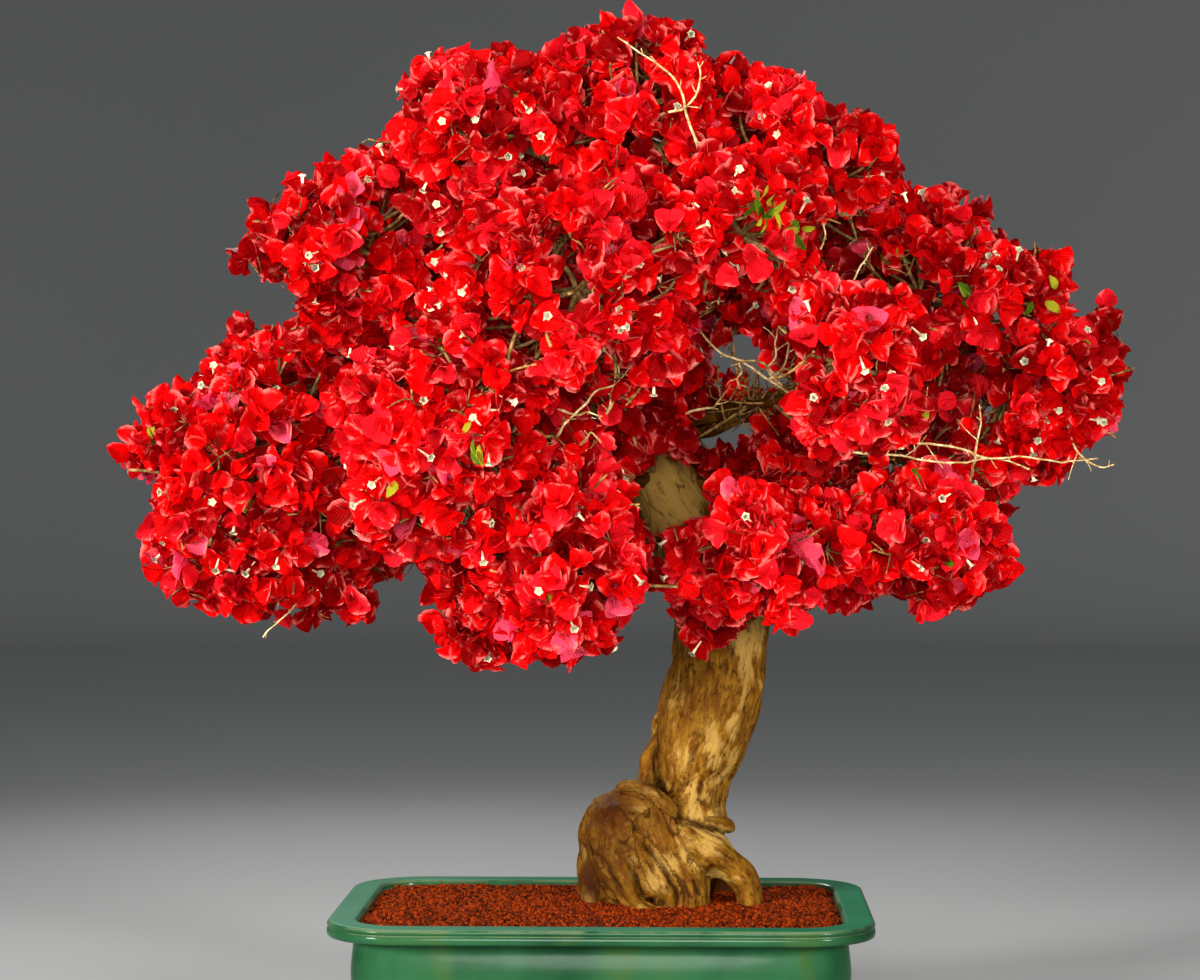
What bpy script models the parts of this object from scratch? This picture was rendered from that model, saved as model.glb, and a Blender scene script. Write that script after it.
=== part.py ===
"""A bougainvillea grown as a bonsai: gnarled trunk, boughs, clouds of red bracts, and its glazed pot.

Metres, +Z up, the grower's front facing -Y. The origin is on the ground under the pot's centre.
The pot and its fill come first, then the trunk with its swollen roots, then the boughs, and last
the flowering masses, each of which grows by one seeded rule from a single stem at its bough's tip.
"""

import math

import bmesh
import bpy
import numpy as np

GAP = 0.0003  # clearance between solids that touch in the real plant
SADDLE_GAP = 1.3 * GAP  # on a limb's faceted side, whose flats lie nearer than its corners
SEED = 11
GOLDEN_ANGLE = math.pi * (3 - math.sqrt(5))

# The pot: a rectangle with round corners, a flat overhanging rim and four bracket feet.
POT_LENGTH = 0.466
POT_WIDTH = 0.330
POT_HEIGHT = 0.130
FOOT_HEIGHT = 0.012
CORNER_RADIUS = 0.066
CORNER_STEPS = 4
INNER_WALL_INSET = 0.0275  # from the rim's outline to the inner wall
FLOOR_TOP = FOOT_HEIGHT + 0.011
FOOT_LEG = 0.034  # how far a foot runs along each wall from its corner
FOOT_INSETS = (0.033, 0.048)
DRAIN_RADIUS = 0.010
DRAIN_OFFSET = 0.095

# The fill: level where the trunk stands, sloping down to the wall.
SOIL_LEVEL = 0.127
SOIL_AT_WALL = 0.1240
SOIL_SHOULDER_INSET = 0.058

# Bracts, larger than life because the solids have far fewer of them than the plant.
BRACT_LENGTH = 0.049
BRACT_WIDTH = 0.047
BRACT_THICKNESS = 0.0020
BRACT_SCALES = (0.72, 1.1)  # they are smaller on a small mass
BRACT_OPENING = math.radians(60)  # between a bract and its shoot
BRACTS_TO_A_FLOWER = 3
LEAST_BRACTS = 2  # a flower with room for fewer is left out
BRACT_DEPTH = 0.0045  # how far below the shoot's tip a bract is rooted
FLOWER_SPACING = 0.0055  # kept between the bracts of two flowers
LIMB_CLEARANCE = 0.0030  # kept between the flowers and every limb

CORE_SHARE = 0.70  # the dense heart of a mass, as a share of its reach
CORE_UNEVENNESS = (0.86, 1.08)
CORE_WALL_GAP = 0.0015  # between the core and a neighbour's space
FORK_SHARE = 0.30  # where the stem's forks end and their shoots begin
ENTRY_SHARE = 0.78  # where a bough ends inside the mass it carries
FLOWERS_AT_TEN_CM = 10  # flowers tried on a mass whose reach is 0.1 m
FORKS = 4
SHOOT_RADII = (0.0034, 0.0032)
SHOOT_LIFTS = (0.014, 0.009, 0.004, -0.001)  # above the core, tried until the flower fits
SPINS = 3  # turns of a flower about its shoot, tried at each lift


# ------------------------------------------------------------------ meshes and Booleans
def clear_scene():
    for obj in list(bpy.data.objects):
        bpy.data.objects.remove(obj)


def make_material(name, colour, roughness, metallic=0.0):
    material = bpy.data.materials.new(name)
    material.use_nodes = True
    shader = material.node_tree.nodes["Principled BSDF"]
    shader.inputs["Base Color"].default_value = (*colour, 1.0)
    shader.inputs["Roughness"].default_value = roughness
    shader.inputs["Metallic"].default_value = metallic
    return material


def add_object(name, bm, material):
    """Turns a bmesh into a named object in the scene."""
    mesh = bpy.data.meshes.new(name)
    bm.to_mesh(mesh)
    bm.free()
    mesh.materials.append(material)
    obj = bpy.data.objects.new(name, mesh)
    bpy.context.scene.collection.objects.link(obj)
    return obj


def loft(rings):
    """A closed bmesh whose skin joins rings of equal count, each anticlockwise about the way they go.

    The skin is triangles, so that a limb and the larger copy that cuts a seat on it bend alike.
    """
    bm = bmesh.new()
    rows = [[bm.verts.new(point) for point in ring] for ring in rings]
    count = len(rows[0])
    for low, high in zip(rows, rows[1:]):
        for j in range(count):
            k = (j + 1) % count
            bm.faces.new((low[j], low[k], high[k]))
            bm.faces.new((low[j], high[k], high[j]))
    bm.faces.new(rows[0][::-1])
    bm.faces.new(rows[-1])
    return bm


def apply_modifiers(obj):
    graph = bpy.context.evaluated_depsgraph_get()
    mesh = bpy.data.meshes.new_from_object(obj.evaluated_get(graph))
    obj.modifiers.clear()
    obj.data = mesh


def keep_main_shell(obj):
    """Drops loose scraps and the skins of sealed hollows, so that one closed body is left."""
    bm = bmesh.new()
    bm.from_mesh(obj.data)
    bmesh.ops.triangulate(bm, faces=bm.faces)
    unseen = set(bm.faces)
    shells = []
    while unseen:
        shell, front = set(), [unseen.pop()]
        while front:
            face = front.pop()
            shell.add(face)
            near = {other for edge in face.edges for other in edge.link_faces} & unseen
            unseen -= near
            front.extend(near)
        shells.append(shell)

    def span(shell):
        corners = np.array([vertex.co for face in shell for vertex in face.verts])
        return float(np.prod(np.ptp(corners, axis=0)))

    main = max(shells, key=span)
    scraps = [face for shell in shells if shell is not main for face in shell]
    bmesh.ops.delete(bm, geom=scraps, context="FACES")
    bm.to_mesh(obj.data)
    bm.free()


def combine(obj, others, operation):
    """One Boolean of obj with a collection of helper objects, applied; the helpers are removed."""
    helpers = bpy.data.collections.new(obj.name + "_helpers")
    bpy.context.scene.collection.children.link(helpers)
    for other in others:
        bpy.context.scene.collection.objects.unlink(other)
        helpers.objects.link(other)
    modifier = obj.modifiers.new(operation.title(), "BOOLEAN")
    modifier.operation = operation
    modifier.operand_type = "COLLECTION"
    modifier.collection = helpers
    modifier.solver = "EXACT"
    apply_modifiers(obj)
    for other in others:
        bpy.data.objects.remove(other)
    bpy.data.collections.remove(helpers)
    keep_main_shell(obj)
    return obj


def cut_level(obj, height):
    """Cuts an object off flat at a height and closes the cut."""
    bm = bmesh.new()
    bm.from_mesh(obj.data)
    geometry = [*bm.verts, *bm.edges, *bm.faces]
    cut = bmesh.ops.bisect_plane(
        bm, geom=geometry, plane_co=(0, 0, height), plane_no=(0, 0, 1), clear_inner=True
    )
    rim = [item for item in cut["geom_cut"] if isinstance(item, bmesh.types.BMEdge)]
    bmesh.ops.holes_fill(bm, edges=rim)
    bmesh.ops.triangulate(bm, faces=bm.faces)
    bm.to_mesh(obj.data)
    bm.free()


def shade(obj, angle_deg):
    obj.data.shade_smooth()
    obj.data.set_sharp_from_angle(angle=math.radians(angle_deg))


# ------------------------------------------------------------------ limbs
def unit(vector):
    vector = np.asarray(vector, float)
    return vector / np.linalg.norm(vector)


def through(stations, count):
    """Rows of (x, y, z, radius) on a Catmull-Rom spline through the stations."""
    rows = np.asarray(stations, float)
    ends = np.vstack([2 * rows[0] - rows[1], rows, 2 * rows[-1] - rows[-2]])
    place = np.linspace(0, len(rows) - 1 - 1e-9, count)
    i, t = place.astype(int), (place % 1)[:, None]
    a, b, c, d = (ends[i + k] for k in range(4))
    return 0.5 * (
        2 * b + (c - a) * t + (2 * a - 5 * b + 4 * c - d) * t**2 + (3 * b - a - 3 * c + d) * t**3
    )


def rings_round(path, sides, knots=0.0):
    """A ring of vertices round each row of a path, carried along it with no twist.

    knots swells and pinches the rings by that share, in three slow waves round the limb.
    """
    tangents = np.gradient(path[:, :3], axis=0)
    side = np.cross(unit(tangents[0]), (0.3, 0.9, 0.1))
    turn = np.arange(sides) * 2 * math.pi / sides
    rings = []
    for k, (row, tangent) in enumerate(zip(path, tangents)):
        tangent = unit(tangent)
        side = unit(side - tangent * (side @ tangent))
        other = np.cross(tangent, side)
        swell = 1 + knots * (np.sin(3 * turn + 0.7 * k) + 0.6 * np.sin(2 * turn - 0.45 * k))
        out = np.outer(np.cos(turn), side) + np.outer(np.sin(turn), other)
        rings.append(row[:3] + row[3] * swell[:, None] * out)
    return rings


def limb(name, path, sides, material, knots=0.0):
    return add_object(name, loft(rings_round(path, sides, knots)), material)


def bulge(name, centre, radii, material, steps=2):
    """A rounded swelling of the wood."""
    bm = bmesh.new()
    bmesh.ops.create_icosphere(bm, subdivisions=steps, radius=1.0)
    bmesh.ops.scale(bm, vec=radii, verts=bm.verts)
    bmesh.ops.translate(bm, vec=centre, verts=bm.verts)
    return add_object(name, bm, material)


# ------------------------------------------------------------------ pot and fill
def rounded_rectangle(inset, height):
    """One level of the pot: its outline drawn in by inset, anticlockwise from above."""
    radius = max(CORNER_RADIUS - inset, 0.012)
    half_length = POT_LENGTH / 2 - inset - radius
    half_width = POT_WIDTH / 2 - inset - radius
    points = []
    for corner, (sx, sy) in enumerate(((1, 1), (-1, 1), (-1, -1), (1, -1))):
        for step in range(CORNER_STEPS + 1):
            angle = (corner + step / CORNER_STEPS) * math.pi / 2
            x = sx * half_length + radius * math.cos(angle)
            y = sy * half_width + radius * math.sin(angle)
            points.append((x, y, height))
    return points


OUTER_PROFILE = (  # inset from the rim's outline, height
    (0.0390, FOOT_HEIGHT),
    (0.0320, FOOT_HEIGHT + 0.0040),
    (0.0260, 0.0420),
    (0.0205, 0.0800),
    (0.0215, 0.0980),
    (0.0225, 0.1080),
    (0.0200, 0.1145),
    (0.0040, 0.1165),
    (0.0006, 0.1190),
    (0.0000, 0.1225),
    (0.0016, 0.1262),
    (0.0040, POT_HEIGHT),
)
INNER_PROFILE = (
    (0.0235, POT_HEIGHT),
    (0.0262, 0.1288),
    (INNER_WALL_INSET, 0.1255),
    (0.0350, 0.0500),
    (0.0400, FLOOR_TOP + 0.0060),
    (0.0480, FLOOR_TOP),
)


def corner_foot(name, sx, sy, material):
    """A bracket foot that follows the pot's corner, its legs drawn in a little towards the ground."""
    outer, inner = (CORNER_RADIUS - inset for inset in FOOT_INSETS)
    centre_x = POT_LENGTH / 2 - CORNER_RADIUS
    centre_y = POT_WIDTH / 2 - CORNER_RADIUS
    arc = [step / CORNER_STEPS * math.pi / 2 for step in range(CORNER_STEPS + 1)]
    rings = []
    for leg, height in ((FOOT_LEG - 0.010, 0.0), (FOOT_LEG, FOOT_HEIGHT + 0.004)):
        outline = [(outer, -leg)]
        outline += [(outer * math.cos(a), outer * math.sin(a)) for a in arc]
        outline += [(-leg, outer), (-leg, inner)]
        outline += [(inner * math.cos(a), inner * math.sin(a)) for a in reversed(arc)]
        outline += [(inner, -leg)]
        ring = [(sx * (centre_x + x), sy * (centre_y + y), height) for x, y in outline]
        rings.append(ring if sx * sy > 0 else ring[::-1])
    return add_object(name, loft(rings), material)


def make_pot(material):
    rings = [rounded_rectangle(*level) for level in OUTER_PROFILE + INNER_PROFILE]
    pot = add_object("pot", loft(rings), material)
    signs = ((1, 1), (-1, 1), (-1, -1), (1, -1))
    feet = [corner_foot(f"foot_{k}", *pair, material) for k, pair in enumerate(signs)]
    combine(pot, feet, "UNION")
    drains = []
    for side in (-1, 1):
        ends = ((side * DRAIN_OFFSET, 0, FOOT_HEIGHT - 0.004), (side * DRAIN_OFFSET, 0, FLOOR_TOP + 0.004))
        path = np.array([(*end, DRAIN_RADIUS) for end in ends])
        drains.append(limb(f"drain_{side}", path, 12, material))
    combine(pot, drains, "DIFFERENCE")
    shade(pot, 35)
    return pot


def make_soil(material):
    """The fill keeps the gap to the pot's wall and floor, and covers the drain holes."""
    within = [(inset + SADDLE_GAP, height + GAP) for inset, height in INNER_PROFILE[:2:-1]]
    at_wall = (INNER_WALL_INSET + SADDLE_GAP + GAP, SOIL_AT_WALL)
    levels = [*within, at_wall, (SOIL_SHOULDER_INSET, SOIL_LEVEL)]
    soil = add_object("soil", loft([rounded_rectangle(*level) for level in levels]), material)
    shade(soil, 30)
    return soil


# ------------------------------------------------------------------ trunk
GROUND = SOIL_LEVEL + GAP  # the trunk's flat cut
TRUNK_STATIONS = (  # x, y, z, radius
    (0.050, 0.056, GROUND - 0.012, 0.044),
    (0.058, 0.056, 0.150, 0.043),
    (0.073, 0.052, 0.190, 0.041),
    (0.0785, 0.050, 0.2247, 0.034),
    (0.0849, 0.050, 0.2650, 0.0415),
    (0.0975, 0.050, 0.3146, 0.0430),
    (0.1050, 0.047, 0.3560, 0.0420),
    (0.1040, 0.045, 0.3900, 0.0435),
    (0.0870, 0.040, 0.4320, 0.0400),
    (0.0620, 0.035, 0.4790, 0.0330),
    (0.0430, 0.028, 0.5150, 0.0275),
    (0.0320, 0.020, 0.5466, 0.0235),
    (0.0265, 0.012, 0.5850, 0.0190),
)
TRUNK_ROWS = 20
TRUNK_SIDES = 12
TRUNK_KNOTS = 0.035
ROOT_SIDES = 6
ROOT_KNOTS = 0.05
TRUNK_PATH = through(TRUNK_STATIONS, TRUNK_ROWS)
ROOT_LIMBS = {  # swollen roots and strands, each a few stations of x, y, z, radius
    "strand": (
        (0.066, 0.034, 0.330, 0.008),
        (0.056, 0.034, 0.290, 0.012),
        (0.045, 0.034, 0.245, 0.014),
        (0.030, 0.038, 0.205, 0.018),
    ),
    "collar": (
        (0.010, 0.038, 0.214, 0.010),
        (0.030, 0.018, 0.222, 0.010),
        (0.053, 0.012, 0.213, 0.009),
        (0.073, 0.016, 0.198, 0.009),
    ),
    "left_root": (
        (0.000, 0.062, 0.180, 0.026),
        (-0.010, 0.070, 0.150, 0.020),
        (-0.012, 0.074, 0.118, 0.016),
    ),
    "claw": (
        (0.012, 0.010, 0.150, 0.018),
        (0.020, -0.010, 0.138, 0.012),
        (0.036, -0.020, 0.130, 0.009),
        (0.050, -0.018, 0.124, 0.007),
    ),
    "middle_root": (
        (0.048, 0.034, 0.212, 0.024),
        (0.052, 0.018, 0.178, 0.023),
        (0.062, 0.011, 0.148, 0.020),
        (0.072, 0.008, 0.116, 0.017),
    ),
    "inner_root": (
        (0.070, 0.034, 0.200, 0.024),
        (0.083, 0.024, 0.164, 0.018),
        (0.088, 0.018, 0.116, 0.013),
    ),
    "right_root": (
        (0.072, 0.036, 0.186, 0.027),
        (0.098, 0.032, 0.180, 0.022),
        (0.118, 0.029, 0.163, 0.018),
        (0.131, 0.026, 0.142, 0.015),
        (0.135, 0.025, 0.116, 0.013),
    ),
    "back_root": (
        (0.070, 0.070, 0.190, 0.028),
        (0.088, 0.096, 0.150, 0.020),
        (0.094, 0.108, 0.116, 0.015),
    ),
    "back_left_root": (
        (0.030, 0.076, 0.185, 0.030),
        (0.022, 0.104, 0.150, 0.021),
        (0.018, 0.116, 0.116, 0.016),
    ),
}
BULGES = {  # centre, radii
    "burl": ((0.008, 0.048, 0.179), (0.035, 0.044, 0.044)),
    "burl_foot": ((0.016, 0.022, 0.148), (0.030, 0.034, 0.036)),
    "knuckle": ((0.045, -0.002, 0.146), (0.016, 0.015, 0.018)),
    "scar": ((0.128, 0.030, 0.386), (0.018, 0.018, 0.016)),
}


def make_trunk(material):
    trunk = limb("trunk", TRUNK_PATH, TRUNK_SIDES, material, TRUNK_KNOTS)
    pieces = [
        limb(name, through(stations, len(stations) + 2), ROOT_SIDES, material, ROOT_KNOTS)
        for name, stations in ROOT_LIMBS.items()
    ]
    pieces += [bulge(name, *size, material) for name, size in BULGES.items()]
    combine(trunk, pieces, "UNION")
    cut_level(trunk, GROUND)
    keep_main_shell(trunk)
    shade(trunk, 50)
    return trunk


# ------------------------------------------------------------------ the crown's plan
MASSES = {  # the heart of each mass, and its reach along X, Y and Z
    "left_low": ((-0.306, 0.000, 0.500), (0.142, 0.128, 0.125)),
    "left_shoulder": ((-0.224, 0.010, 0.704), (0.112, 0.115, 0.086)),
    "top_left": ((-0.105, 0.000, 0.802), (0.100, 0.108, 0.086)),
    "apex": ((0.032, 0.000, 0.824), (0.094, 0.108, 0.094)),
    "top_right": ((0.166, 0.010, 0.774), (0.100, 0.112, 0.090)),
    "right_shoulder": ((0.308, 0.000, 0.660), (0.102, 0.116, 0.092)),
    "right_tip": ((0.368, -0.020, 0.578), (0.086, 0.104, 0.080)),
    "right_low": ((0.272, -0.070, 0.451), (0.096, 0.098, 0.067)),
    "trunk_front": ((0.130, -0.120, 0.440), (0.080, 0.080, 0.072)),
    "front_centre": ((-0.017, -0.203, 0.657), (0.112, 0.112, 0.108)),
    "front_left": ((-0.121, -0.193, 0.532), (0.108, 0.110, 0.106)),
    "front_low": ((-0.031, -0.170, 0.437), (0.094, 0.098, 0.093)),
    "front_right": ((0.208, -0.190, 0.594), (0.072, 0.090, 0.082)),
    "front_upper": ((0.118, -0.165, 0.704), (0.084, 0.100, 0.080)),
    "back_left": ((-0.262, 0.184, 0.587), (0.120, 0.122, 0.114)),
    "back_top_left": ((-0.113, 0.180, 0.729), (0.114, 0.122, 0.110)),
    "back_top": ((0.076, 0.180, 0.764), (0.110, 0.122, 0.108)),
    "back_right": ((0.262, 0.184, 0.643), (0.120, 0.122, 0.112)),
    "back_low": ((-0.010, 0.192, 0.549), (0.112, 0.110, 0.102)),
}
BOUGH_HEIGHTS = {  # the height at which each bough leaves the trunk
    "right_low": 0.400,
    "trunk_front": 0.412,
    "front_low": 0.447,
    "left_low": 0.463,
    "back_low": 0.470,
    "right_tip": 0.491,
    "front_left": 0.503,
    "back_left": 0.516,
    "back_right": 0.528,
    "right_shoulder": 0.546,
    "front_centre": 0.552,
    "left_shoulder": 0.556,
}
LEADER_STATIONS = (
    (0.0278, 0.014, 0.5780, 0.0175),
    (0.0200, 0.004, 0.6300, 0.0150),
    (0.0230, -0.002, 0.6800, 0.0120),
    (0.0310, 0.001, 0.7300, 0.0095),
    (0.0320, 0.000, 0.7630, 0.0080),
)
SIDE_BOUGHS = {  # boughs that leave another bough: which one, and how far along it
    "top_left": ("apex", 0.26),
    "top_right": ("apex", 0.40),
    "back_top": ("apex", 0.52),
    "front_upper": ("apex", 0.14),
    "back_top_left": ("apex", 0.18),
    "front_right": ("right_shoulder", 0.34),
}
BOUGH_HABITS = {  # rise at the start, how far under its mass it enters, radii at both ends
    "left_low": (0.00, 2.0, 0.0140, 0.0080),
    "left_shoulder": (0.25, 1.0, 0.0110, 0.0060),
    "top_left": (0.60, 0.6, 0.0080, 0.0050),
    "top_right": (0.40, 0.6, 0.0080, 0.0050),
    "right_shoulder": (0.20, 1.0, 0.0100, 0.0060),
    "right_tip": (0.25, 3.0, 0.0090, 0.0045),
    "right_low": (0.25, 0.8, 0.0100, 0.0060),
    "trunk_front": (0.20, 0.3, 0.0070, 0.0045),
    "front_centre": (0.30, 0.5, 0.0095, 0.0055),
    "front_left": (0.10, 0.5, 0.0110, 0.0060),
    "front_low": (0.10, 0.2, 0.0085, 0.0050),
    "front_right": (0.10, 0.3, 0.0060, 0.0040),
    "front_upper": (0.30, 0.4, 0.0065, 0.0040),
    "back_left": (0.15, 0.8, 0.0115, 0.0060),
    "back_top_left": (0.30, 0.5, 0.0085, 0.0050),
    "back_top": (0.40, 0.4, 0.0075, 0.0050),
    "back_right": (0.30, 0.8, 0.0105, 0.0060),
    "back_low": (0.20, 0.7, 0.0100, 0.0055),
}
BOUGH_ROWS = 7
BOUGH_SIDES = 6
BOUGH_KNOTS = 0.03


def reach_along(radii, direction):
    """How far an ellipsoid with these radii reaches in a direction."""
    return 1 / np.linalg.norm(unit(direction) / np.asarray(radii))


def bough_path(name, start):
    """A bough leaves level or rising, and bends to enter its mass from the trunk's side and below."""
    heart, radii = (np.array(value) for value in MASSES[name])
    rise, under, thick, thin = BOUGH_HABITS[name]
    outward = unit((*(heart - start)[:2], 0))
    inward = unit((*-outward[:2], -under))
    end = heart + ENTRY_SHARE * reach_along(radii, inward) * inward
    bend = start + np.linalg.norm((end - start)[:2]) * 0.5 * (outward + (0, 0, rise))
    t = np.linspace(0, 1, BOUGH_ROWS)[:, None]
    line = (1 - t) ** 2 * start + 2 * t * (1 - t) * bend + t**2 * end
    return np.hstack([line, thick + (thin - thick) * t**0.8])


def plan_boughs():
    """The path of each bough, and the path of the limb it leaves."""
    paths = {"apex": through(LEADER_STATIONS, BOUGH_ROWS)}
    parents = {"apex": TRUNK_PATH}
    for name, height in BOUGH_HEIGHTS.items():
        start = [np.interp(height, TRUNK_PATH[:, 2], TRUNK_PATH[:, k]) for k in range(3)]
        paths[name] = bough_path(name, np.array(start))
        parents[name] = TRUNK_PATH
    for name, (carrier, share) in SIDE_BOUGHS.items():
        rows = paths[carrier]
        place = share * (len(rows) - 1)
        start = [np.interp(place, range(len(rows)), rows[:, k]) for k in range(3)]
        paths[name] = bough_path(name, np.array(start))
        parents[name] = rows
    return paths, parents


def make_bough(name, path, parent, material):
    """A tapering limb, its root hollowed to sit on the limb it leaves with the gap all round."""
    bough = limb("bough_" + name, path, BOUGH_SIDES, material, BOUGH_KNOTS)
    saddle_path = parent.copy()
    saddle_path[:, 3] += SADDLE_GAP
    saddle_path[-1, :3] += GAP * unit(parent[-1, :3] - parent[-2, :3])
    sides, knots = (TRUNK_SIDES, TRUNK_KNOTS) if parent is TRUNK_PATH else (BOUGH_SIDES, BOUGH_KNOTS)
    combine(bough, [limb("saddle", saddle_path, sides, material, knots)], "DIFFERENCE")
    shade(bough, 50)
    return bough


# ------------------------------------------------------------------ the flowering masses
def golden_directions(count, turn):
    """Directions spread evenly over a ball by the golden angle, turned about Z."""
    k = np.arange(count) + 0.5
    polar = np.arccos(1 - 2 * k / count)
    azimuth = k * GOLDEN_ANGLE + turn
    return np.stack(
        [np.sin(polar) * np.cos(azimuth), np.sin(polar) * np.sin(azimuth), np.cos(polar)], axis=1
    )


def cell_walls(name):
    """Planes that part a mass from its neighbours, halfway by their sizes, as normals and offsets."""
    heart, radii = (np.array(value) for value in MASSES[name])
    normals, offsets = [], []
    for other, (other_heart, other_radii) in MASSES.items():
        if other == name:
            continue
        apart = np.array(other_heart) - heart
        distance = np.linalg.norm(apart)
        size, other_size = np.mean(radii), np.mean(other_radii)
        along = (distance**2 + size**2 - other_size**2) / (2 * distance)
        normals.append(apart / distance)
        offsets.append(apart @ heart / distance + along - GAP)
    return np.array(normals), np.array(offsets)


def nearest(points, others):
    """The distance from each point to the nearest of the others."""
    return np.linalg.norm(points[:, None] - others[None], axis=2).min(axis=1)


class Space:
    """The room a mass has: its own reach, its side of each neighbour, and clear of every limb.

    It also remembers where flowers and shoots are, so that no two of them cross.
    """

    def __init__(self, name, limbs):
        self.heart, self.radii = (np.array(value) for value in MASSES[name])
        self.normals, self.offsets = cell_walls(name)
        self.limbs = limbs
        self.flowers = np.full((1, 3), np.inf)
        self.shoots = np.full((1, 3), np.inf)

    def room_along(self, directions):
        """How far each direction goes from the heart before it meets a neighbour's space."""
        speeds = directions @ self.normals.T
        rooms = self.offsets - self.normals @ self.heart
        return np.where(speeds > 1e-6, rooms / np.maximum(speeds, 1e-6), np.inf).min(axis=1)

    def is_clear(self, points):
        """Whether points keep their clearance to every limb."""
        apart = np.linalg.norm(points[:, None] - self.limbs[None, :, :3], axis=2)
        return bool((apart > self.limbs[:, 3] + LIMB_CLEARANCE).all())

    def holds(self, points):
        """Whether points lie within this space and clear of the limbs."""
        within = (np.linalg.norm((points - self.heart) / self.radii, axis=1) <= 1).all()
        beside = (points @ self.normals.T <= self.offsets).all()
        return bool(within and beside and self.is_clear(points))

    def has_room_for_bract(self, points):
        clear = nearest(points, self.flowers).min() > FLOWER_SPACING
        return clear and nearest(points, self.shoots).min() > FLOWER_SPACING and self.holds(points)

    def has_room_for_shoot(self, points):
        return nearest(points, self.flowers).min() > FLOWER_SPACING and self.holds(points)

    def add_flower(self, shoot, bracts):
        self.shoots = np.vstack([self.shoots, shoot])
        self.flowers = np.vstack([self.flowers, *bracts])


def bract_corners(root, axis, across, scale):
    """The kite of a bract: root, two shoulders and tip, with a high and a low point between them."""
    normal = np.cross(across, axis)
    middle = root + 0.45 * scale * BRACT_LENGTH * axis
    half_width = 0.5 * scale * BRACT_WIDTH * across
    rise = 0.5 * BRACT_THICKNESS * normal
    tip = root + scale * BRACT_LENGTH * axis
    return np.array([root, middle + half_width, tip, middle - half_width, middle + rise, middle - rise])


def bract_samples(corners):
    """Points over a bract, close enough together that no limb passes between them."""
    root, right, tip, left = corners[:4]
    u, v = np.meshgrid(np.linspace(0, 1, 6), np.linspace(0, 1, 6))
    u, v = u.reshape(-1, 1), v.reshape(-1, 1)
    return (1 - u) * (1 - v) * root + u * (1 - v) * right + (1 - u) * v * left + u * v * tip


def bract_bmesh(corners):
    bm = bmesh.new()
    verts = [bm.verts.new(point) for point in corners]
    for k in range(4):
        a, b = verts[k], verts[(k + 1) % 4]
        bm.faces.new((a, b, verts[4]))
        bm.faces.new((b, a, verts[5]))
    bmesh.ops.recalc_face_normals(bm, faces=bm.faces)
    return bm


def flower_bracts(tip, heading, spin, scale):
    """Three bracts set round a shoot's tip, leaning out from it, their roots sunk in the shoot."""
    side = unit(np.cross(heading, (0.31, 0.22, 0.93)))
    other = np.cross(heading, side)
    for k in range(BRACTS_TO_A_FLOWER):
        angle = spin + k * 2 * math.pi / BRACTS_TO_A_FLOWER
        out = math.cos(angle) * side + math.sin(angle) * other
        axis = math.cos(BRACT_OPENING) * heading + math.sin(BRACT_OPENING) * out
        across = np.cross(heading, out)
        root = tip - BRACT_DEPTH * heading + 0.3 * SHOOT_RADII[1] * out
        yield bract_corners(root, axis, across, scale)


def shape_core(name, space, rng, material):
    """The dense heart of a mass: an uneven ball, kept off the neighbours' spaces and the limbs."""
    core = bulge(name, (0, 0, 0), (1, 1, 1), material)
    directions = np.array([vertex.co for vertex in core.data.vertices])
    faces = np.array([face.vertices for face in core.data.polygons])
    reach = CORE_SHARE * rng.uniform(*CORE_UNEVENNESS, len(directions))
    reach *= 1 / np.linalg.norm(directions / space.radii, axis=1)
    reach = np.minimum(reach, space.room_along(directions) - CORE_WALL_GAP)
    steps = [(i / 5, j / 5, 1 - (i + j) / 5) for i in range(6) for j in range(6 - i)]
    for _ in range(40):
        corners = space.heart + reach[:, None] * directions
        samples = np.einsum("sk,fkx->fsx", steps, corners[faces])
        crowded = np.array([not space.is_clear(points) for points in samples])
        if not crowded.any():
            break
        reach[np.unique(faces[crowded])] *= 0.92
    for vertex, corner in zip(core.data.vertices, corners):
        vertex.co = corner
    return core, directions, reach


def place_flower(space, forks, direction, surface, spin, scale):
    """A shoot's path and its bracts, at the first lift and turn that fit the space."""
    best = None
    for lift in SHOOT_LIFTS:
        tip = space.heart + (surface + lift) * direction
        fork = forks[np.argmin(np.linalg.norm(forks - tip, axis=1))]
        line = np.linspace(0, 1, 14)[:, None] * (tip - fork) + fork
        if not space.has_room_for_shoot(line):
            continue
        for turn in range(SPINS):
            angle = spin + turn * 2 * math.pi / (SPINS * BRACTS_TO_A_FLOWER)
            bracts = list(flower_bracts(tip, unit(tip - fork), angle, scale))
            fitting = [b for b in bracts if space.has_room_for_bract(bract_samples(b))]
            if best is None or len(fitting) > len(best[2]):
                best = line, np.array([(*fork, SHOOT_RADII[0]), (*tip, SHOOT_RADII[1])]), fitting
        if best and len(best[2]) == BRACTS_TO_A_FLOWER:
            break
    if best is None or len(best[2]) < LEAST_BRACTS:
        return None
    line, shoot, bracts = best
    space.add_flower(line, [bract_samples(corners) for corners in bracts])
    return shoot, bracts


def stem_path(bough, heart):
    """A mass's stem goes on from its bough's tip, the gap away, and bends to the heart."""
    heading = unit(bough[-1, :3] - bough[-2, :3])
    radius = bough[-1, 3]
    start = bough[-1, :3] + GAP * heading
    knee = start + 0.3 * np.linalg.norm(heart - start) * heading
    return np.array([(*start, radius), (*knee, 0.9 * radius), (*heart, 0.6 * radius)])


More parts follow.
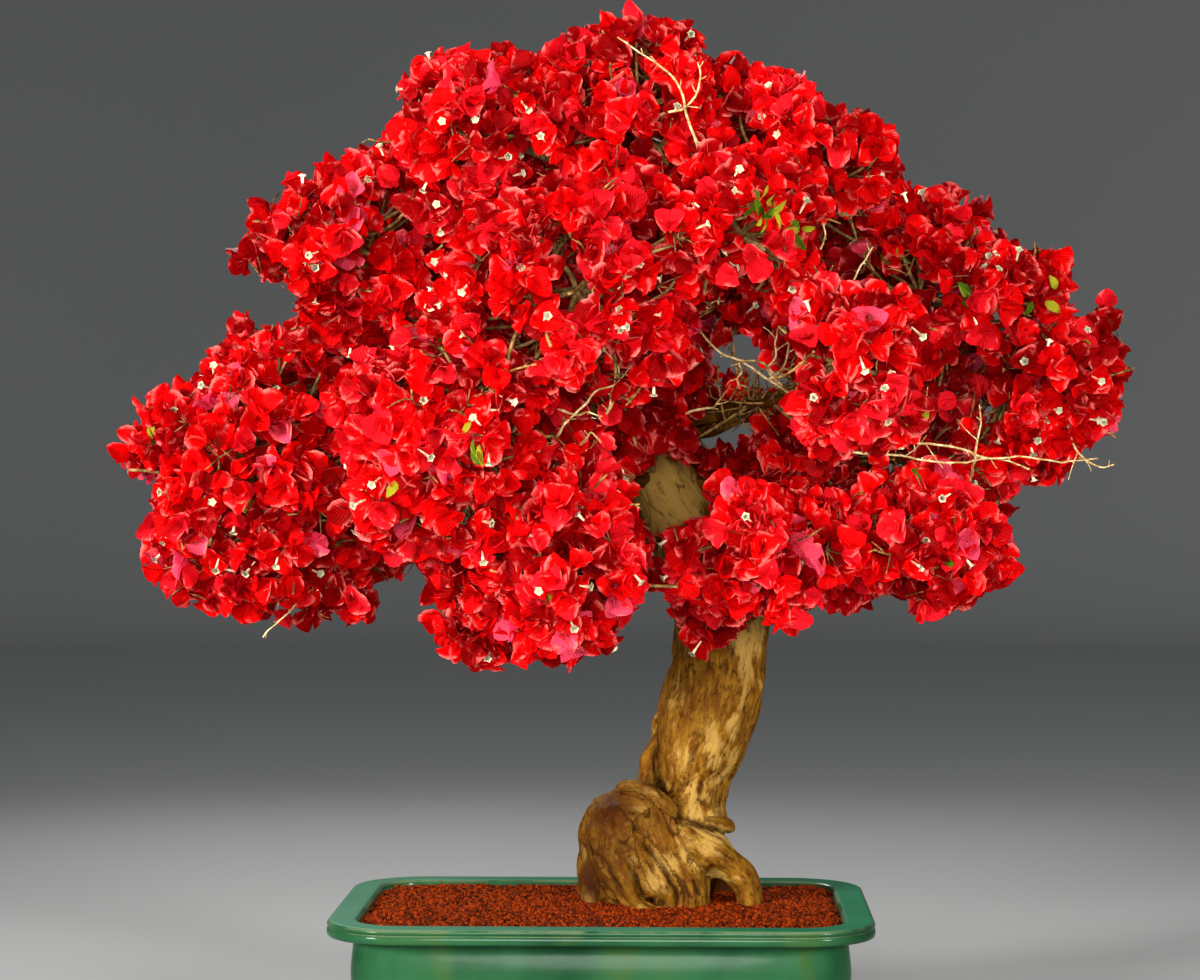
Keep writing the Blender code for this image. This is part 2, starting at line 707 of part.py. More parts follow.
def make_mass(index, name, bough, limbs, material):
    """One mass: a stem from the bough's tip to the heart, a core, forks, shoots and their flowers."""
    rng = np.random.default_rng(SEED + index)
    space = Space(name, limbs)
    stem = limb(name, stem_path(bough, space.heart), BOUGH_SIDES, material)
    core, core_directions, core_reach = shape_core(name + "_core", space, rng, material)
    parts = [core]
    forks = space.heart + FORK_SHARE * space.radii * golden_directions(FORKS, rng.uniform(0, 6))
    for k, fork in enumerate(forks):
        path = np.array([(*space.heart, 0.004), (*fork, SHOOT_RADII[0])])
        parts.append(limb(f"{name}_fork_{k}", path, 3, material))
    scale = np.clip(np.mean(space.radii) / 0.1, *BRACT_SCALES)
    flowers = round(FLOWERS_AT_TEN_CM * np.mean(space.radii) / 0.1)
    for k, direction in enumerate(golden_directions(flowers, rng.uniform(0, 6))):
        surface = core_reach[np.argmax(core_directions @ direction)]
        placed = place_flower(space, forks, direction, surface, rng.uniform(0, 2), scale)
        if placed:
            shoot, bracts = placed
            parts.append(limb(f"{name}_shoot_{k}", shoot, 3, material))
            for b, corners in enumerate(bracts):
                parts.append(add_object(f"{name}_bract_{k}_{b}", bract_bmesh(corners), material))
    combine(stem, parts, "UNION")
    shade(stem, 40)
    return stem


# ------------------------------------------------------------------ assembly
def limb_field(paths):
    """Points along every limb, with the radius there, for keeping leaves and twigs clear of them."""
    rows = [path[:, :4] for path in paths]
    dense = [through(path, 8 * len(path)) for path in rows]
    return np.vstack(dense)


def main():
    clear_scene()
    glaze = make_material("green_glaze", (0.07, 0.33, 0.22), 0.18)
    fill = make_material("red_clay_grit", (0.30, 0.07, 0.02), 0.95)
    bark = make_material("tan_bark", (0.42, 0.24, 0.09), 0.75)
    petals = make_material("red_bracts", (0.75, 0.01, 0.03), 0.55)
    make_pot(glaze)
    make_soil(fill)
    make_trunk(bark)
    paths, parents = plan_boughs()
    for name, path in paths.items():
        make_bough(name, path, parents[name], bark)
    field = limb_field([TRUNK_PATH, *paths.values()])
    for index, name in enumerate(MASSES):
        make_mass(index, name, paths[name], field, petals)


main()
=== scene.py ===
"""A bougainvillea grown as a bonsai, in full flower, in its glazed pot: the finished surfaces.

Metres, +Z up, the grower's front facing -Y, the origin on the ground under the pot's centre.
The pot comes first, then its fill, the trunk, the boughs, the twigs and all that grows on them,
and last the floor, the lamps and the camera.
"""

import itertools
import math

import bpy
import numpy as np
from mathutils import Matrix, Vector


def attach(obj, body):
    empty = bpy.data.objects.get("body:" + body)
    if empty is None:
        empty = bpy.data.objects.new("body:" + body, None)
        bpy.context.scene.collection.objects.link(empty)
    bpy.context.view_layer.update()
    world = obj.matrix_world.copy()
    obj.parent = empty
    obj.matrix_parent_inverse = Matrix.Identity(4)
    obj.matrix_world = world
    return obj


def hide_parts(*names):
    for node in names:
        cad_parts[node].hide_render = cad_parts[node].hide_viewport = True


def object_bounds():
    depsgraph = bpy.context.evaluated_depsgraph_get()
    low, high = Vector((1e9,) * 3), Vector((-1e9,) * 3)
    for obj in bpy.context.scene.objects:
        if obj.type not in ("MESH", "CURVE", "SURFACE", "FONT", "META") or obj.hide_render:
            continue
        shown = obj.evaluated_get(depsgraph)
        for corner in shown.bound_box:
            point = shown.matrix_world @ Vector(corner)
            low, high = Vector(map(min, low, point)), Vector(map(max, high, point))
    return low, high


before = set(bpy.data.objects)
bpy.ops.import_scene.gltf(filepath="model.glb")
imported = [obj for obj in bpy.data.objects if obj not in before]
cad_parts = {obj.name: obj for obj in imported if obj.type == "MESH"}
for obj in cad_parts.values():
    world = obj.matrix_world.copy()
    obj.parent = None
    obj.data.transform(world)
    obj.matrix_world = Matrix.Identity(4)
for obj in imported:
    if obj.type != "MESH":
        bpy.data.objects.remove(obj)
cad_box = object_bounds()

# ---------------------------------------------------------------------------------- the pot
# A rectangular stoneware pot with round corners, a flat overhanging rim and four bracket feet.
# It is pressed in a mould, its two drain holes are cut, and it is fired with a thick green glaze.
POT_LENGTH = 0.466
POT_WIDTH = 0.330
FOOT_HEIGHT = 0.012
CORNER_RADIUS = 0.066  # at the rim, less by the inset below it
SHARPEST_CORNER = 0.012
CORNER_STEPS = 14
SIDE_STEPS = 8
FOOT_LEG = 0.034  # how far a foot runs along each wall from its corner
FOOT_SLOPE = 0.010  # how much less it runs at the ground
FOOT_EDGE = 0.001  # the worn edge that it stands on
FOOT_NARROWING = 0.0008
FOOT_OVERLAP = 0.004  # how far it goes up into the pot's floor
FOOT_INSETS = (0.033, 0.048)  # its outer and inner faces, from the rim's outline
DRAIN_RADIUS = 0.010
DRAIN_OFFSET = 0.095
DRAIN_SIDES = 24
DRILL_ENDS = (0.008, 0.030)  # heights below and above the pot's floor
POT_OUTSIDE = (  # inset from the rim's outline, height: the wall, the neck, the band, its groove, the lip
    (0.0390, 0.0120), (0.0350, 0.0126), (0.0320, 0.0160), (0.0290, 0.0280), (0.0260, 0.0420),
    (0.0228, 0.0620), (0.0207, 0.0800), (0.0206, 0.0900), (0.0215, 0.1000), (0.0224, 0.1080),
    (0.0220, 0.1125), (0.0195, 0.1148), (0.0120, 0.1157), (0.0045, 0.1164), (0.0016, 0.1172),
    (0.0004, 0.1188), (0.0001, 0.1212), (0.0005, 0.1234), (0.0016, 0.1244), (0.0013, 0.1254),
    (0.0004, 0.1266), (0.0006, 0.1283), (0.0022, 0.1296), (0.0045, 0.1300),
)
POT_INSIDE = (  # the same from the rim down to the floor
    (0.0140, 0.1299), (0.0225, 0.1300), (0.0250, 0.1296), (0.0266, 0.1284), (0.0275, 0.1255),
    (0.0290, 0.1150), (0.0350, 0.0500), (0.0400, 0.0290), (0.0480, 0.0230),
)
PROFILE_STEPS = 3  # rows between two stations of the profile


class Term:
    """A value that changes over a surface. The operators on it, and on numbers with it, add Math nodes."""

    def __init__(self, finish, socket):
        self.finish = finish
        self.socket = socket

    def math(self, operation, first, second):
        """One Math node on two values."""
        return self.finish.node("Math", {"operation": operation}, {0: first, 1: second})

    def __add__(self, other):
        return self.math("ADD", self, other)

    def __sub__(self, other):
        return self.math("SUBTRACT", self, other)

    def __mul__(self, other):
        return self.math("MULTIPLY", self, other)

    __radd__ = __add__
    __rmul__ = __mul__

    def __rsub__(self, other):
        return self.math("SUBTRACT", other, self)

    def stretched(self, shares):
        """This position with each of its three parts multiplied by a share."""
        return self.finish.node("VectorMath", {"operation": "MULTIPLY"}, {0: self, 1: shares})

    def step(self, low, high):
        """0 up to low, 1 from high on, and a smooth rise between."""
        sockets = {"Value": self, "From Min": low, "From Max": high}
        return self.finish.node("MapRange", {"interpolation_type": "SMOOTHSTEP"}, sockets)

    def band(self, start, full, going, gone):
        """0 up to start, 1 from full to going, and 0 again from gone on."""
        return self.step(start, full) * (1 - self.step(going, gone))


class Finish:
    """A finish being mixed: its material, its shader, and one way to add any other node."""

    def __init__(self, name, **plain):
        self.material = bpy.data.materials.new(name)
        self.material.use_nodes = True
        self.tree = self.material.node_tree
        self.shader = self.tree.nodes["Principled BSDF"]
        self.surface(**plain)

    def surface(self, **sockets):
        """Feeds the shader. In a socket's name an underscore stands for a space."""
        self.feed(self.shader, {key.replace("_", " "): value for key, value in sockets.items()})

    def feed(self, node, sockets):
        """Links each Term to its socket, and sets every other value on it."""
        for key, value in sockets.items():
            if isinstance(value, Term):
                self.tree.links.new(value.socket, node.inputs[key])
            else:
                node.inputs[key].default_value = value

    def node(self, kind, settings, sockets, output=0):
        """Adds a node of a kind: its settings first, then what its sockets hold."""
        made = self.tree.nodes.new("ShaderNode" + kind)
        for key, value in settings.items():
            setattr(made, key, value)
        self.feed(made, sockets)
        return Term(self, made.outputs[output])

    def place(self):
        """Each point's place on the object."""
        return self.node("TexCoord", {}, {}, "Object")

    def attribute(self, name, output="Fac"):
        """What the mesh keeps at each point under a name."""
        return self.node("Attribute", {"attribute_name": name}, {}, output)

    def noise(self, place, scale, detail=3.0, roughness=0.5):
        """Soft patches from 0 to 1, smaller with a larger scale."""
        sockets = {"Vector": place, "Scale": scale, "Detail": detail, "Roughness": roughness}
        return self.node("TexNoise", {}, sockets)

    def blend(self, share, first, second):
        """The first colour where share is 0, and the second where it is 1."""
        return self.node("Mix", {"data_type": "RGBA"}, {0: share, 6: first, 7: second}, 2)

    def bump(self, height, distance, strength=1.0):
        """Raises the surface by the height, where 1 stands for the distance in metres."""
        sockets = {"Height": height, "Distance": distance, "Strength": strength}
        self.feed(self.shader, {"Normal": self.node("Bump", {}, sockets)})


def grid_triangles(rows, count, wrap=True):
    """Two triangles for each cell of a grid of points. wrap joins the end of a row to its start."""
    i = np.arange(rows - 1)[:, None]
    j = np.arange(count if wrap else count - 1)[None]
    a, b = i * count + j, i * count + (j + 1) % count
    c, d = b + count, a + count
    return np.stack([a, b, c, a, c, d], axis=-1).reshape(-1, 3)


def closed_triangles(rows, count):
    """The triangles of a stack of rings, closed at both ends by a fan on the end ring's first point."""
    k = np.arange(1, count - 1)
    low = np.stack([0 * k, k + 1, k], axis=1)
    high = np.stack([0 * k, k, k + 1], axis=1) + (rows - 1) * count
    return np.vstack([grid_triangles(rows, count), low, high])


def skin_over(rings):
    """The points and triangles of one closed skin over a stack of rings (rings, points, 3)."""
    return rings.reshape(-1, 3), closed_triangles(*rings.shape[:2])


def repeated(points, triangles):
    """Many shapes (shapes, points, 3) with the same triangles, as one set of points and triangles."""
    count, size = points.shape[:2]
    shifted = triangles[None] + (np.arange(count) * size)[:, None, None]
    return points.reshape(-1, 3), shifted.reshape(-1, 3)


def joined(parts):
    """Several sets of points and triangles as one."""
    starts = np.cumsum([0] + [len(points) for points, _ in parts])
    triangles = [faces + start for (_, faces), start in zip(parts, starts)]
    return np.vstack([points for points, _ in parts]), np.vstack(triangles)


def make_mesh(name, points, triangles, smooth=True):
    """A mesh from arrays of points and of the three corners of each triangle."""
    mesh = bpy.data.meshes.new(name)
    mesh.vertices.add(len(points))
    mesh.vertices.foreach_set("co", np.asarray(points, np.float32).ravel())
    mesh.loops.add(3 * len(triangles))
    mesh.loops.foreach_set("vertex_index", np.asarray(triangles, np.int32).ravel())
    mesh.polygons.add(len(triangles))
    mesh.polygons.foreach_set("loop_start", np.arange(0, 3 * len(triangles), 3, dtype=np.int32))
    mesh.polygons.foreach_set("use_smooth", np.full(len(triangles), smooth))
    mesh.update(calc_edges=True)
    return mesh


def add_piece(name, mesh, finish, nodes):
    """Shows a mesh as a piece of the object, in one finish, standing for some of its solids."""
    mesh.materials.clear()
    mesh.materials.append(finish.material)
    piece = bpy.data.objects.new(name, mesh)
    bpy.context.scene.collection.objects.link(piece)
    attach(piece, "root")
    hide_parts(*nodes)
    return piece


def applied(mesh, kind, **settings):
    """The mesh with one modifier applied."""
    holder = bpy.data.objects.new("holder", mesh)
    bpy.context.scene.collection.objects.link(holder)
    modifier = holder.modifiers.new(kind.title(), kind)
    for key, value in settings.items():
        setattr(modifier, key, value)
    graph = bpy.context.evaluated_depsgraph_get()
    made = bpy.data.meshes.new_from_object(holder.evaluated_get(graph))
    bpy.data.objects.remove(holder)
    return made


def through(stations, count):
    """Rows on a Catmull-Rom spline through the stations, evenly spaced from station to station."""
    rows = np.asarray(stations, float)
    ends = np.vstack([2 * rows[0] - rows[1], rows, 2 * rows[-1] - rows[-2]])
    place = np.linspace(0, len(rows) - 1 - 1e-9, count)
    i, t = place.astype(int), (place % 1)[:, None]
    a, b, c, d = (ends[i + k] for k in range(4))
    return 0.5 * (
        2 * b + (c - a) * t + (2 * a - 5 * b + 4 * c - d) * t**2 + (3 * b - a - 3 * c + d) * t**3
    )


def wall_rings(levels):
    """The pot's outline at each level (inset, height): a quarter circle at every corner, whose radius
    shrinks with the inset, and straight runs between them, anticlockwise from above.
    """
    insets, heights = np.asarray(levels, float).T
    radius = np.maximum(CORNER_RADIUS - insets, SHARPEST_CORNER)[:, None, None]
    half = np.stack([POT_LENGTH / 2 - insets, POT_WIDTH / 2 - insets], axis=1)[:, None] - radius
    runs = []
    for corner, signs in enumerate(((1, 1), (-1, 1), (-1, -1), (1, -1))):
        angle = (corner + np.linspace(0, 1, CORNER_STEPS + 1)) * math.pi / 2
        turn = np.stack([np.cos(angle), np.sin(angle)], axis=1)
        runs.append(np.array(signs) * half + radius * turn)
    share = np.linspace(0, 1, SIDE_STEPS + 2)[1:-1, None]
    outline = []
    for run, following in zip(runs, runs[1:] + runs[:1]):
        outline += [run, run[:, -1:] * (1 - share) + following[:, :1] * share]
    flat = np.concatenate(outline, axis=1)
    return np.dstack([flat, np.broadcast_to(heights[:, None], flat.shape[:2])])


def foot_rings(sx, sy):
    """A bracket foot: an L with a round outer and inner corner, its legs shorter at the ground."""
    outer, inner = (CORNER_RADIUS - inset for inset in FOOT_INSETS)
    centre = (POT_LENGTH / 2 - CORNER_RADIUS, POT_WIDTH / 2 - CORNER_RADIUS)
    arc = np.linspace(0, math.pi / 2, CORNER_STEPS + 1)
    quarter = np.stack([np.cos(arc), np.sin(arc)], axis=1)
    short = FOOT_LEG - FOOT_SLOPE
    legs = ((short, 0.0), (short + FOOT_EDGE, FOOT_EDGE), (FOOT_LEG, FOOT_HEIGHT + FOOT_OVERLAP))
    rings = []
    for leg, height in legs:
        narrowing = FOOT_NARROWING if height == 0 else 0.0
        out, back = outer - narrowing, inner + narrowing
        line = [[(out, -leg)], out * quarter, [(-leg, out), (-leg, back)], back * quarter[::-1]]
        line = np.vstack([*line, [(back, -leg)]])
        ring = np.column_stack([(line + centre) * (sx, sy), np.full(len(line), height)])
        rings.append(ring if sx * sy > 0 else ring[::-1])
    return np.array(rings)


def drained(mesh):
    """The pot with its two round drain holes cut through the floor."""
    turn = np.linspace(0, 2 * math.pi, DRAIN_SIDES + 1)[:-1]
    heights = np.array(DRILL_ENDS)[:, None]
    for side in (-1, 1):
        x = side * DRAIN_OFFSET + DRAIN_RADIUS * np.cos(turn) + 0 * heights
        y = DRAIN_RADIUS * np.sin(turn) + 0 * heights
        drill = make_mesh("drill", *skin_over(np.dstack([x, y, heights + 0 * x])))
        cutter = bpy.data.objects.new("drill", drill)
        bpy.context.scene.collection.objects.link(cutter)
        mesh = applied(mesh, "BOOLEAN", operation="DIFFERENCE", object=cutter, solver="EXACT")
        bpy.data.objects.remove(cutter)
    return mesh


LIP_HEIGHTS = (0.1272, 0.1292, 0.1296, 0.1301)  # heights where the lip starts, and where it ends
GROOVE_HEIGHTS = (0.1236, 0.1243, 0.1246, 0.1254)
RIM_TOP_HEIGHTS = (0.1294, 0.1299)
OVERHANG_HEIGHTS = (0.1130, 0.1170)
GLAZE_TEAL = (0.0055, 0.031, 0.0112, 1)
GLAZE_BRIGHT = (0.0135, 0.061, 0.0225, 1)
GLAZE_MOSS = (0.024, 0.058, 0.014, 1)
GLAZE_POOL = (0.016, 0.140, 0.064, 1)  # where it has gathered on the rim's flat top
GLAZE_THIN_AND_HIGHLIGHT = (0.100, 0.125, 0.062, 1)  # where it has run off an edge and the clay shows through; paler, as a painted highlight on the lip and groove too
glaze = Finish("green_glaze", Specular_IOR_Level=0.04, Coat_Roughness=0.05)
place = glaze.place()
clouds = glaze.noise(place, 9.0, 4.0)
drifts = glaze.noise(place.stretched((1, 1, 0.35)), 26.0, 3.0)
specks = glaze.noise(place, 420.0, 2.0)
height = glaze.node("SeparateXYZ", {}, {0: place}, "Z")
colour = glaze.blend(clouds.step(0.40, 0.66), GLAZE_TEAL, GLAZE_BRIGHT)
colour = glaze.blend(drifts.step(0.52, 0.72) * 0.75, colour, GLAZE_MOSS)
rim_top = height.step(*RIM_TOP_HEIGHTS)
overhang = height.step(*OVERHANG_HEIGHTS)
# The lip and the groove are painted paler: glaze worn thin there, and painted highlights on these edges.
edges = height.band(*LIP_HEIGHTS) * 0.8 + height.band(*GROOVE_HEIGHTS) * 0.5
worn_and_highlit = edges * drifts.step(0.30, 0.60)
colour = glaze.blend(worn_and_highlit, colour, GLAZE_THIN_AND_HIGHLIGHT)
colour = glaze.blend(specks.step(0.62, 0.74) * 0.35, colour, GLAZE_TEAL)
colour = glaze.blend(rim_top * (0.55 + clouds * 0.6), colour, GLAZE_POOL)
glaze.surface(Base_Color=colour, Roughness=0.12 + drifts * 0.12 + rim_top * 0.32)
glaze.surface(Coat_Weight=0.02 + overhang * 0.10 - rim_top * 0.12)
glaze.bump(clouds * 0.8 + drifts * 0.3 + specks * 0.04, 0.0012, 0.5)

profile = through(POT_OUTSIDE + POT_INSIDE, PROFILE_STEPS * len(POT_OUTSIDE + POT_INSIDE))
pot_mesh = drained(make_mesh("pot", *skin_over(wall_rings(profile))))
feet = [skin_over(foot_rings(*signs)) for signs in itertools.product((1, -1), repeat=2)]
feet_mesh = make_mesh("feet", *joined(feet), smooth=False)
add_piece("pot_feet", feet_mesh, glaze, ["pot"])
add_piece("pot_body", pot_mesh, glaze, ["pot"])

# ---------------------------------------------------------------------------------- the fill
# Moist red clay grit, sieved to a few millimetres and poured in round the roots, a little lower at
# the pot's wall. A bed of it fills the pot, and loose grains lie all over the bed.
SOIL_LEVEL = 0.127
SOIL_AT_WALL = 0.1232
SOIL_SHOULDER_INSET = 0.058  # how far in from the rim's outline the grit starts to fall
SOIL_WALL_INSET = 0.0275
BED_ROWS = 26
BED_INSETS = (0.0281, 0.157)
BED_PLAY = 0.0004  # between the bed and the pot's floor
GRAINS = 15000
GRAIN_INSET = 0.0285
GRAIN_RADII = (0.0012, 0.0026)
GRAIN_SHAPES = (0.7, 1.25)  # how far a grain's corners lie out, as a share of its radius
GRAIN_LIFTS = (-0.0004, 0.0009)
LATTICE_VALUES = 8192  # the random values that the corners of the noise's lattice share


def noise(points, seed):
    """Smooth noise from -1 to 1: random values at the corners of a unit lattice, blended in each
    cell by 3t^2 - 2t^3 along every axis.
    """
    values = np.random.default_rng(seed).uniform(-1, 1, LATTICE_VALUES)
    cell = np.floor(points).astype(np.int64)
    share = points - cell
    share = share * share * (3 - 2 * share)
    total = np.zeros(len(points))
    for corner in itertools.product((0, 1), repeat=3):
        x, y, z = (cell + corner).T
        key = ((x * 73856093) ^ (y * 19349663) ^ (z * 83492791)) % len(values)
        total += np.prod(np.where(corner, share, 1 - share), axis=1) * values[key]
    return total


def soil_height(flat):
    """The grit's level: flat where the trunk stands, falling to the wall, and uneven by a millimetre."""
    half = np.array([POT_LENGTH / 2, POT_WIDTH / 2])
    inset = (half - np.abs(flat)).min(axis=1)
    fall = np.clip((SOIL_SHOULDER_INSET - inset) / (SOIL_SHOULDER_INSET - SOIL_WALL_INSET), 0, 1) ** 1.5
    spread = np.column_stack([flat, 0 * inset])
    uneven = 0.0011 * noise(spread / 0.024, 3) + 0.0006 * noise(spread / 0.008, 4)
    return SOIL_LEVEL - (SOIL_LEVEL - SOIL_AT_WALL) * fall + uneven


def within_walls(flat, inset):
    """Whether points lie inside the pot's outline drawn in by an inset."""
    radius = CORNER_RADIUS - inset
    half = np.array([POT_LENGTH / 2, POT_WIDTH / 2]) - inset - radius
    beyond = np.maximum(np.abs(flat) - half, 0)
    return np.linalg.norm(beyond, axis=1) <= radius


GRIT_ORANGE = (0.240, 0.026, 0.0012, 1)
GRIT_BROWN = (0.110, 0.012, 0.0010, 1)
GRIT_DARK = (0.032, 0.005, 0.0007, 1)
GRIT_BLACK = (0.016, 0.003, 0.0005, 1)
GRAIN_TONES = {  # a grain's colour, the colour of its pores, and how many of the grains are so
    "grit_orange": (GRIT_ORANGE, GRIT_BROWN, 0.50),
    "grit_brown": (GRIT_BROWN, GRIT_DARK, 0.34),
    "grit_dark": (GRIT_DARK, GRIT_BLACK, 0.16),
}


def grit_finish(name, colour, deeper):
    """Baked clay: a rough, dusty surface, a little darker in its pores."""
    finish = Finish(name, Roughness=0.85, Specular_IOR_Level=0.03)
    place = finish.place()
    pores = finish.noise(place, 900.0, 3.0)
    dust = finish.noise(place, 60.0, 2.0)
    shade = finish.blend(pores.step(0.35, 0.65), deeper, colour)
    finish.surface(Base_Color=finish.blend(dust.step(0.45, 0.75) * 0.5, shade, GRIT_BROWN))
    finish.surface(Roughness=0.75 + pores * 0.25)
    finish.bump(pores, 0.0006, 0.7)
    return finish


under = np.array(POT_INSIDE[:-4:-1]) + BED_PLAY
bed = wall_rings([*under, *((inset, SOIL_LEVEL) for inset in np.linspace(*BED_INSETS, BED_ROWS))])
top = bed[len(under) :].reshape(-1, 3)
top[:, 2] = soil_height(top[:, :2])
bed[len(under) :] = top.reshape(BED_ROWS, -1, 3)
bed_mesh = make_mesh("soil_bed", *skin_over(bed))
add_piece("soil_bed", bed_mesh, grit_finish("grit_bed", GRIT_BROWN, GRIT_DARK), ["soil"])

rng = np.random.default_rng(5)
spots = rng.uniform(-1, 1, (2 * GRAINS, 2)) * (POT_LENGTH / 2, POT_WIDTH / 2)
spots = spots[within_walls(spots, GRAIN_INSET)][:GRAINS]
grain_corners = np.array([(1, 0, 0), (0, 1, 0), (-1, 0, 0), (0, -1, 0), (0, 0, 1), (0, 0, -1)], float)
upper_faces = np.array([(k, (k + 1) % 4, 4) for k in range(4)])
lower_faces = np.array([((k + 1) % 4, k, 5) for k in range(4)])
grain_faces = np.vstack([upper_faces, lower_faces])
turns = np.linalg.qr(rng.normal(size=(len(spots), 3, 3)))[0]
turns *= np.sign(np.linalg.det(turns))[:, None, None]
sizes = rng.uniform(*GRAIN_RADII, (len(spots), 1, 1)) * rng.uniform(*GRAIN_SHAPES, (len(spots), 6, 1))
grains = np.einsum("nij,vj->nvi", turns, grain_corners) * sizes
lift = soil_height(spots) + rng.uniform(*GRAIN_LIFTS, len(spots))
grains += np.column_stack([spots, lift])[:, None]
dealt = rng.choice(len(GRAIN_TONES), len(spots), p=[share for *_, share in GRAIN_TONES.values()])
for k, (name, (colour, deeper, _)) in enumerate(GRAIN_TONES.items()):
    mesh = make_mesh(name, *repeated(grains[dealt == k], grain_faces), smooth=False)
    add_piece(name, mesh, grit_finish(name, colour, deeper), ["soil"])

# ---------------------------------------------------------------------------------- the trunk
# Old bougainvillea wood: a leaning column with a waist, swollen roots that clasp the ground, a burl and a
# rolled collar. The bark is thin and golden tan, split along the grain, and rubbed pale. Shade is painted
# darker on its left side, in the creases between the roots and in the hollows by the burl, and light is
# painted on a glint, on the trunk's top and in the fork.
TRUNK_STATIONS = (  # x, y, z, radius
    (0.0725, 0.044, 0.1965, 0.0390), (0.0740, 0.045, 0.2040, 0.0390), (0.0765, 0.047, 0.2130, 0.0345),
    (0.0795, 0.049, 0.2260, 0.0310), (0.0800, 0.050, 0.2400, 0.0345), (0.0825, 0.050, 0.2540, 0.0380),
    (0.0855, 0.050, 0.2680, 0.0402), (0.0907, 0.050, 0.2900, 0.0430), (0.0980, 0.050, 0.3146, 0.0436),
    (0.1040, 0.047, 0.3560, 0.0412), (0.1040, 0.045, 0.3900, 0.0430), (0.0870, 0.040, 0.4320, 0.0400),
    (0.0620, 0.035, 0.4790, 0.0330), (0.0430, 0.028, 0.5150, 0.0275), (0.0320, 0.020, 0.5466, 0.0235),
    (0.0265, 0.012, 0.5850, 0.0190), (0.0250, 0.006, 0.6080, 0.0160),
)
ROOT_STOCK = (
    (0.0500, 0.058, 0.1153, 0.0420), (0.0580, 0.056, 0.1500, 0.0410), (0.0660, 0.052, 0.1850, 0.0360),
    (0.0740, 0.050, 0.2100, 0.0290),
)
ROOT_LIMBS = {  # each a few stations of x, y, z, radius
    "strand": (
        (0.0480, 0.048, 0.292, 0.0040), (0.0465, 0.048, 0.272, 0.0062), (0.0440, 0.047, 0.256, 0.0088),
        (0.0405, 0.043, 0.240, 0.0112), (0.0380, 0.036, 0.226, 0.0120), (0.0380, 0.032, 0.212, 0.0120),
    ),
    "collar": (
        (0.0130, 0.036, 0.2260, 0.0070), (0.0220, 0.022, 0.2315, 0.0070), (0.0350, 0.013, 0.2295, 0.0068),
        (0.0480, 0.007, 0.2220, 0.0070), (0.0580, 0.004, 0.2120, 0.0068), (0.0630, 0.007, 0.2035, 0.0045),
    ),
    "lip": (
        (0.0640, 0.0180, 0.2125, 0.0045), (0.0750, 0.0125, 0.2065, 0.0056),
        (0.0900, 0.0155, 0.2020, 0.0062), (0.1015, 0.0240, 0.1965, 0.0070),
        (0.1090, 0.0360, 0.1925, 0.0072), (0.1095, 0.0520, 0.1920, 0.0065),
    ),
    "under_collar": (
        (0.010, 0.046, 0.208, 0.0150), (0.032, 0.025, 0.214, 0.0180), (0.050, 0.019, 0.204, 0.0180),
    ),
    "brow": (
        (0.002, 0.020, 0.190, 0.0210), (0.009, 0.001, 0.166, 0.0190), (0.017, -0.011, 0.149, 0.0130),
        (0.026, -0.018, 0.1345, 0.0090), (0.038, -0.0215, 0.1280, 0.0060),
        (0.053, -0.0205, 0.1260, 0.0048),
    ),
    "left_root": (
        (0.004, 0.060, 0.185, 0.026), (-0.006, 0.066, 0.150, 0.020), (-0.010, 0.070, 0.112, 0.017),
    ),
    "toe": (
        (-0.006, 0.030, 0.165, 0.014), (-0.010, 0.022, 0.142, 0.012), (-0.006, 0.018, 0.112, 0.011),
    ),
    "middle_root": (
        (0.0420, 0.026, 0.213, 0.0150), (0.0500, 0.011, 0.197, 0.0175), (0.0585, 0.003, 0.176, 0.0175),
        (0.0665, -0.001, 0.160, 0.0160), (0.0745, -0.002, 0.146, 0.0152), (0.0775, -0.002, 0.128, 0.0148),
        (0.0780, -0.002, 0.108, 0.0145),
    ),
    "inner_root": (
        (0.076, 0.026, 0.186, 0.0170), (0.083, 0.014, 0.162, 0.0125), (0.0865, 0.009, 0.142, 0.0085),
        (0.0875, 0.008, 0.108, 0.0080),
    ),
    "right_root": (
        (0.0480, 0.021, 0.2030, 0.0130), (0.0665, 0.0105, 0.1880, 0.0170),
        (0.0844, 0.0080, 0.1772, 0.0200), (0.0991, 0.0110, 0.1677, 0.0183),
        (0.1119, 0.0145, 0.1590, 0.0148), (0.1228, 0.0165, 0.1475, 0.0126),
        (0.1285, 0.0180, 0.1340, 0.0122), (0.1300, 0.0185, 0.1120, 0.0118),
    ),
    "groove_fill": (
        (0.0345, 0.0220, 0.196, 0.0100), (0.0400, 0.0060, 0.179, 0.0130),
        (0.0477, -0.0015, 0.167, 0.0135), (0.0554, -0.0040, 0.156, 0.0135),
        (0.0605, -0.0045, 0.143, 0.0135), (0.0615, -0.0040, 0.112, 0.0130),
    ),
    "back_root": (
        (0.070, 0.070, 0.190, 0.028), (0.094, 0.094, 0.152, 0.021), (0.108, 0.104, 0.112, 0.016),
    ),
    "back_left_root": (
        (0.030, 0.076, 0.185, 0.030), (0.022, 0.100, 0.150, 0.022), (0.018, 0.112, 0.112, 0.017),
    ),
}
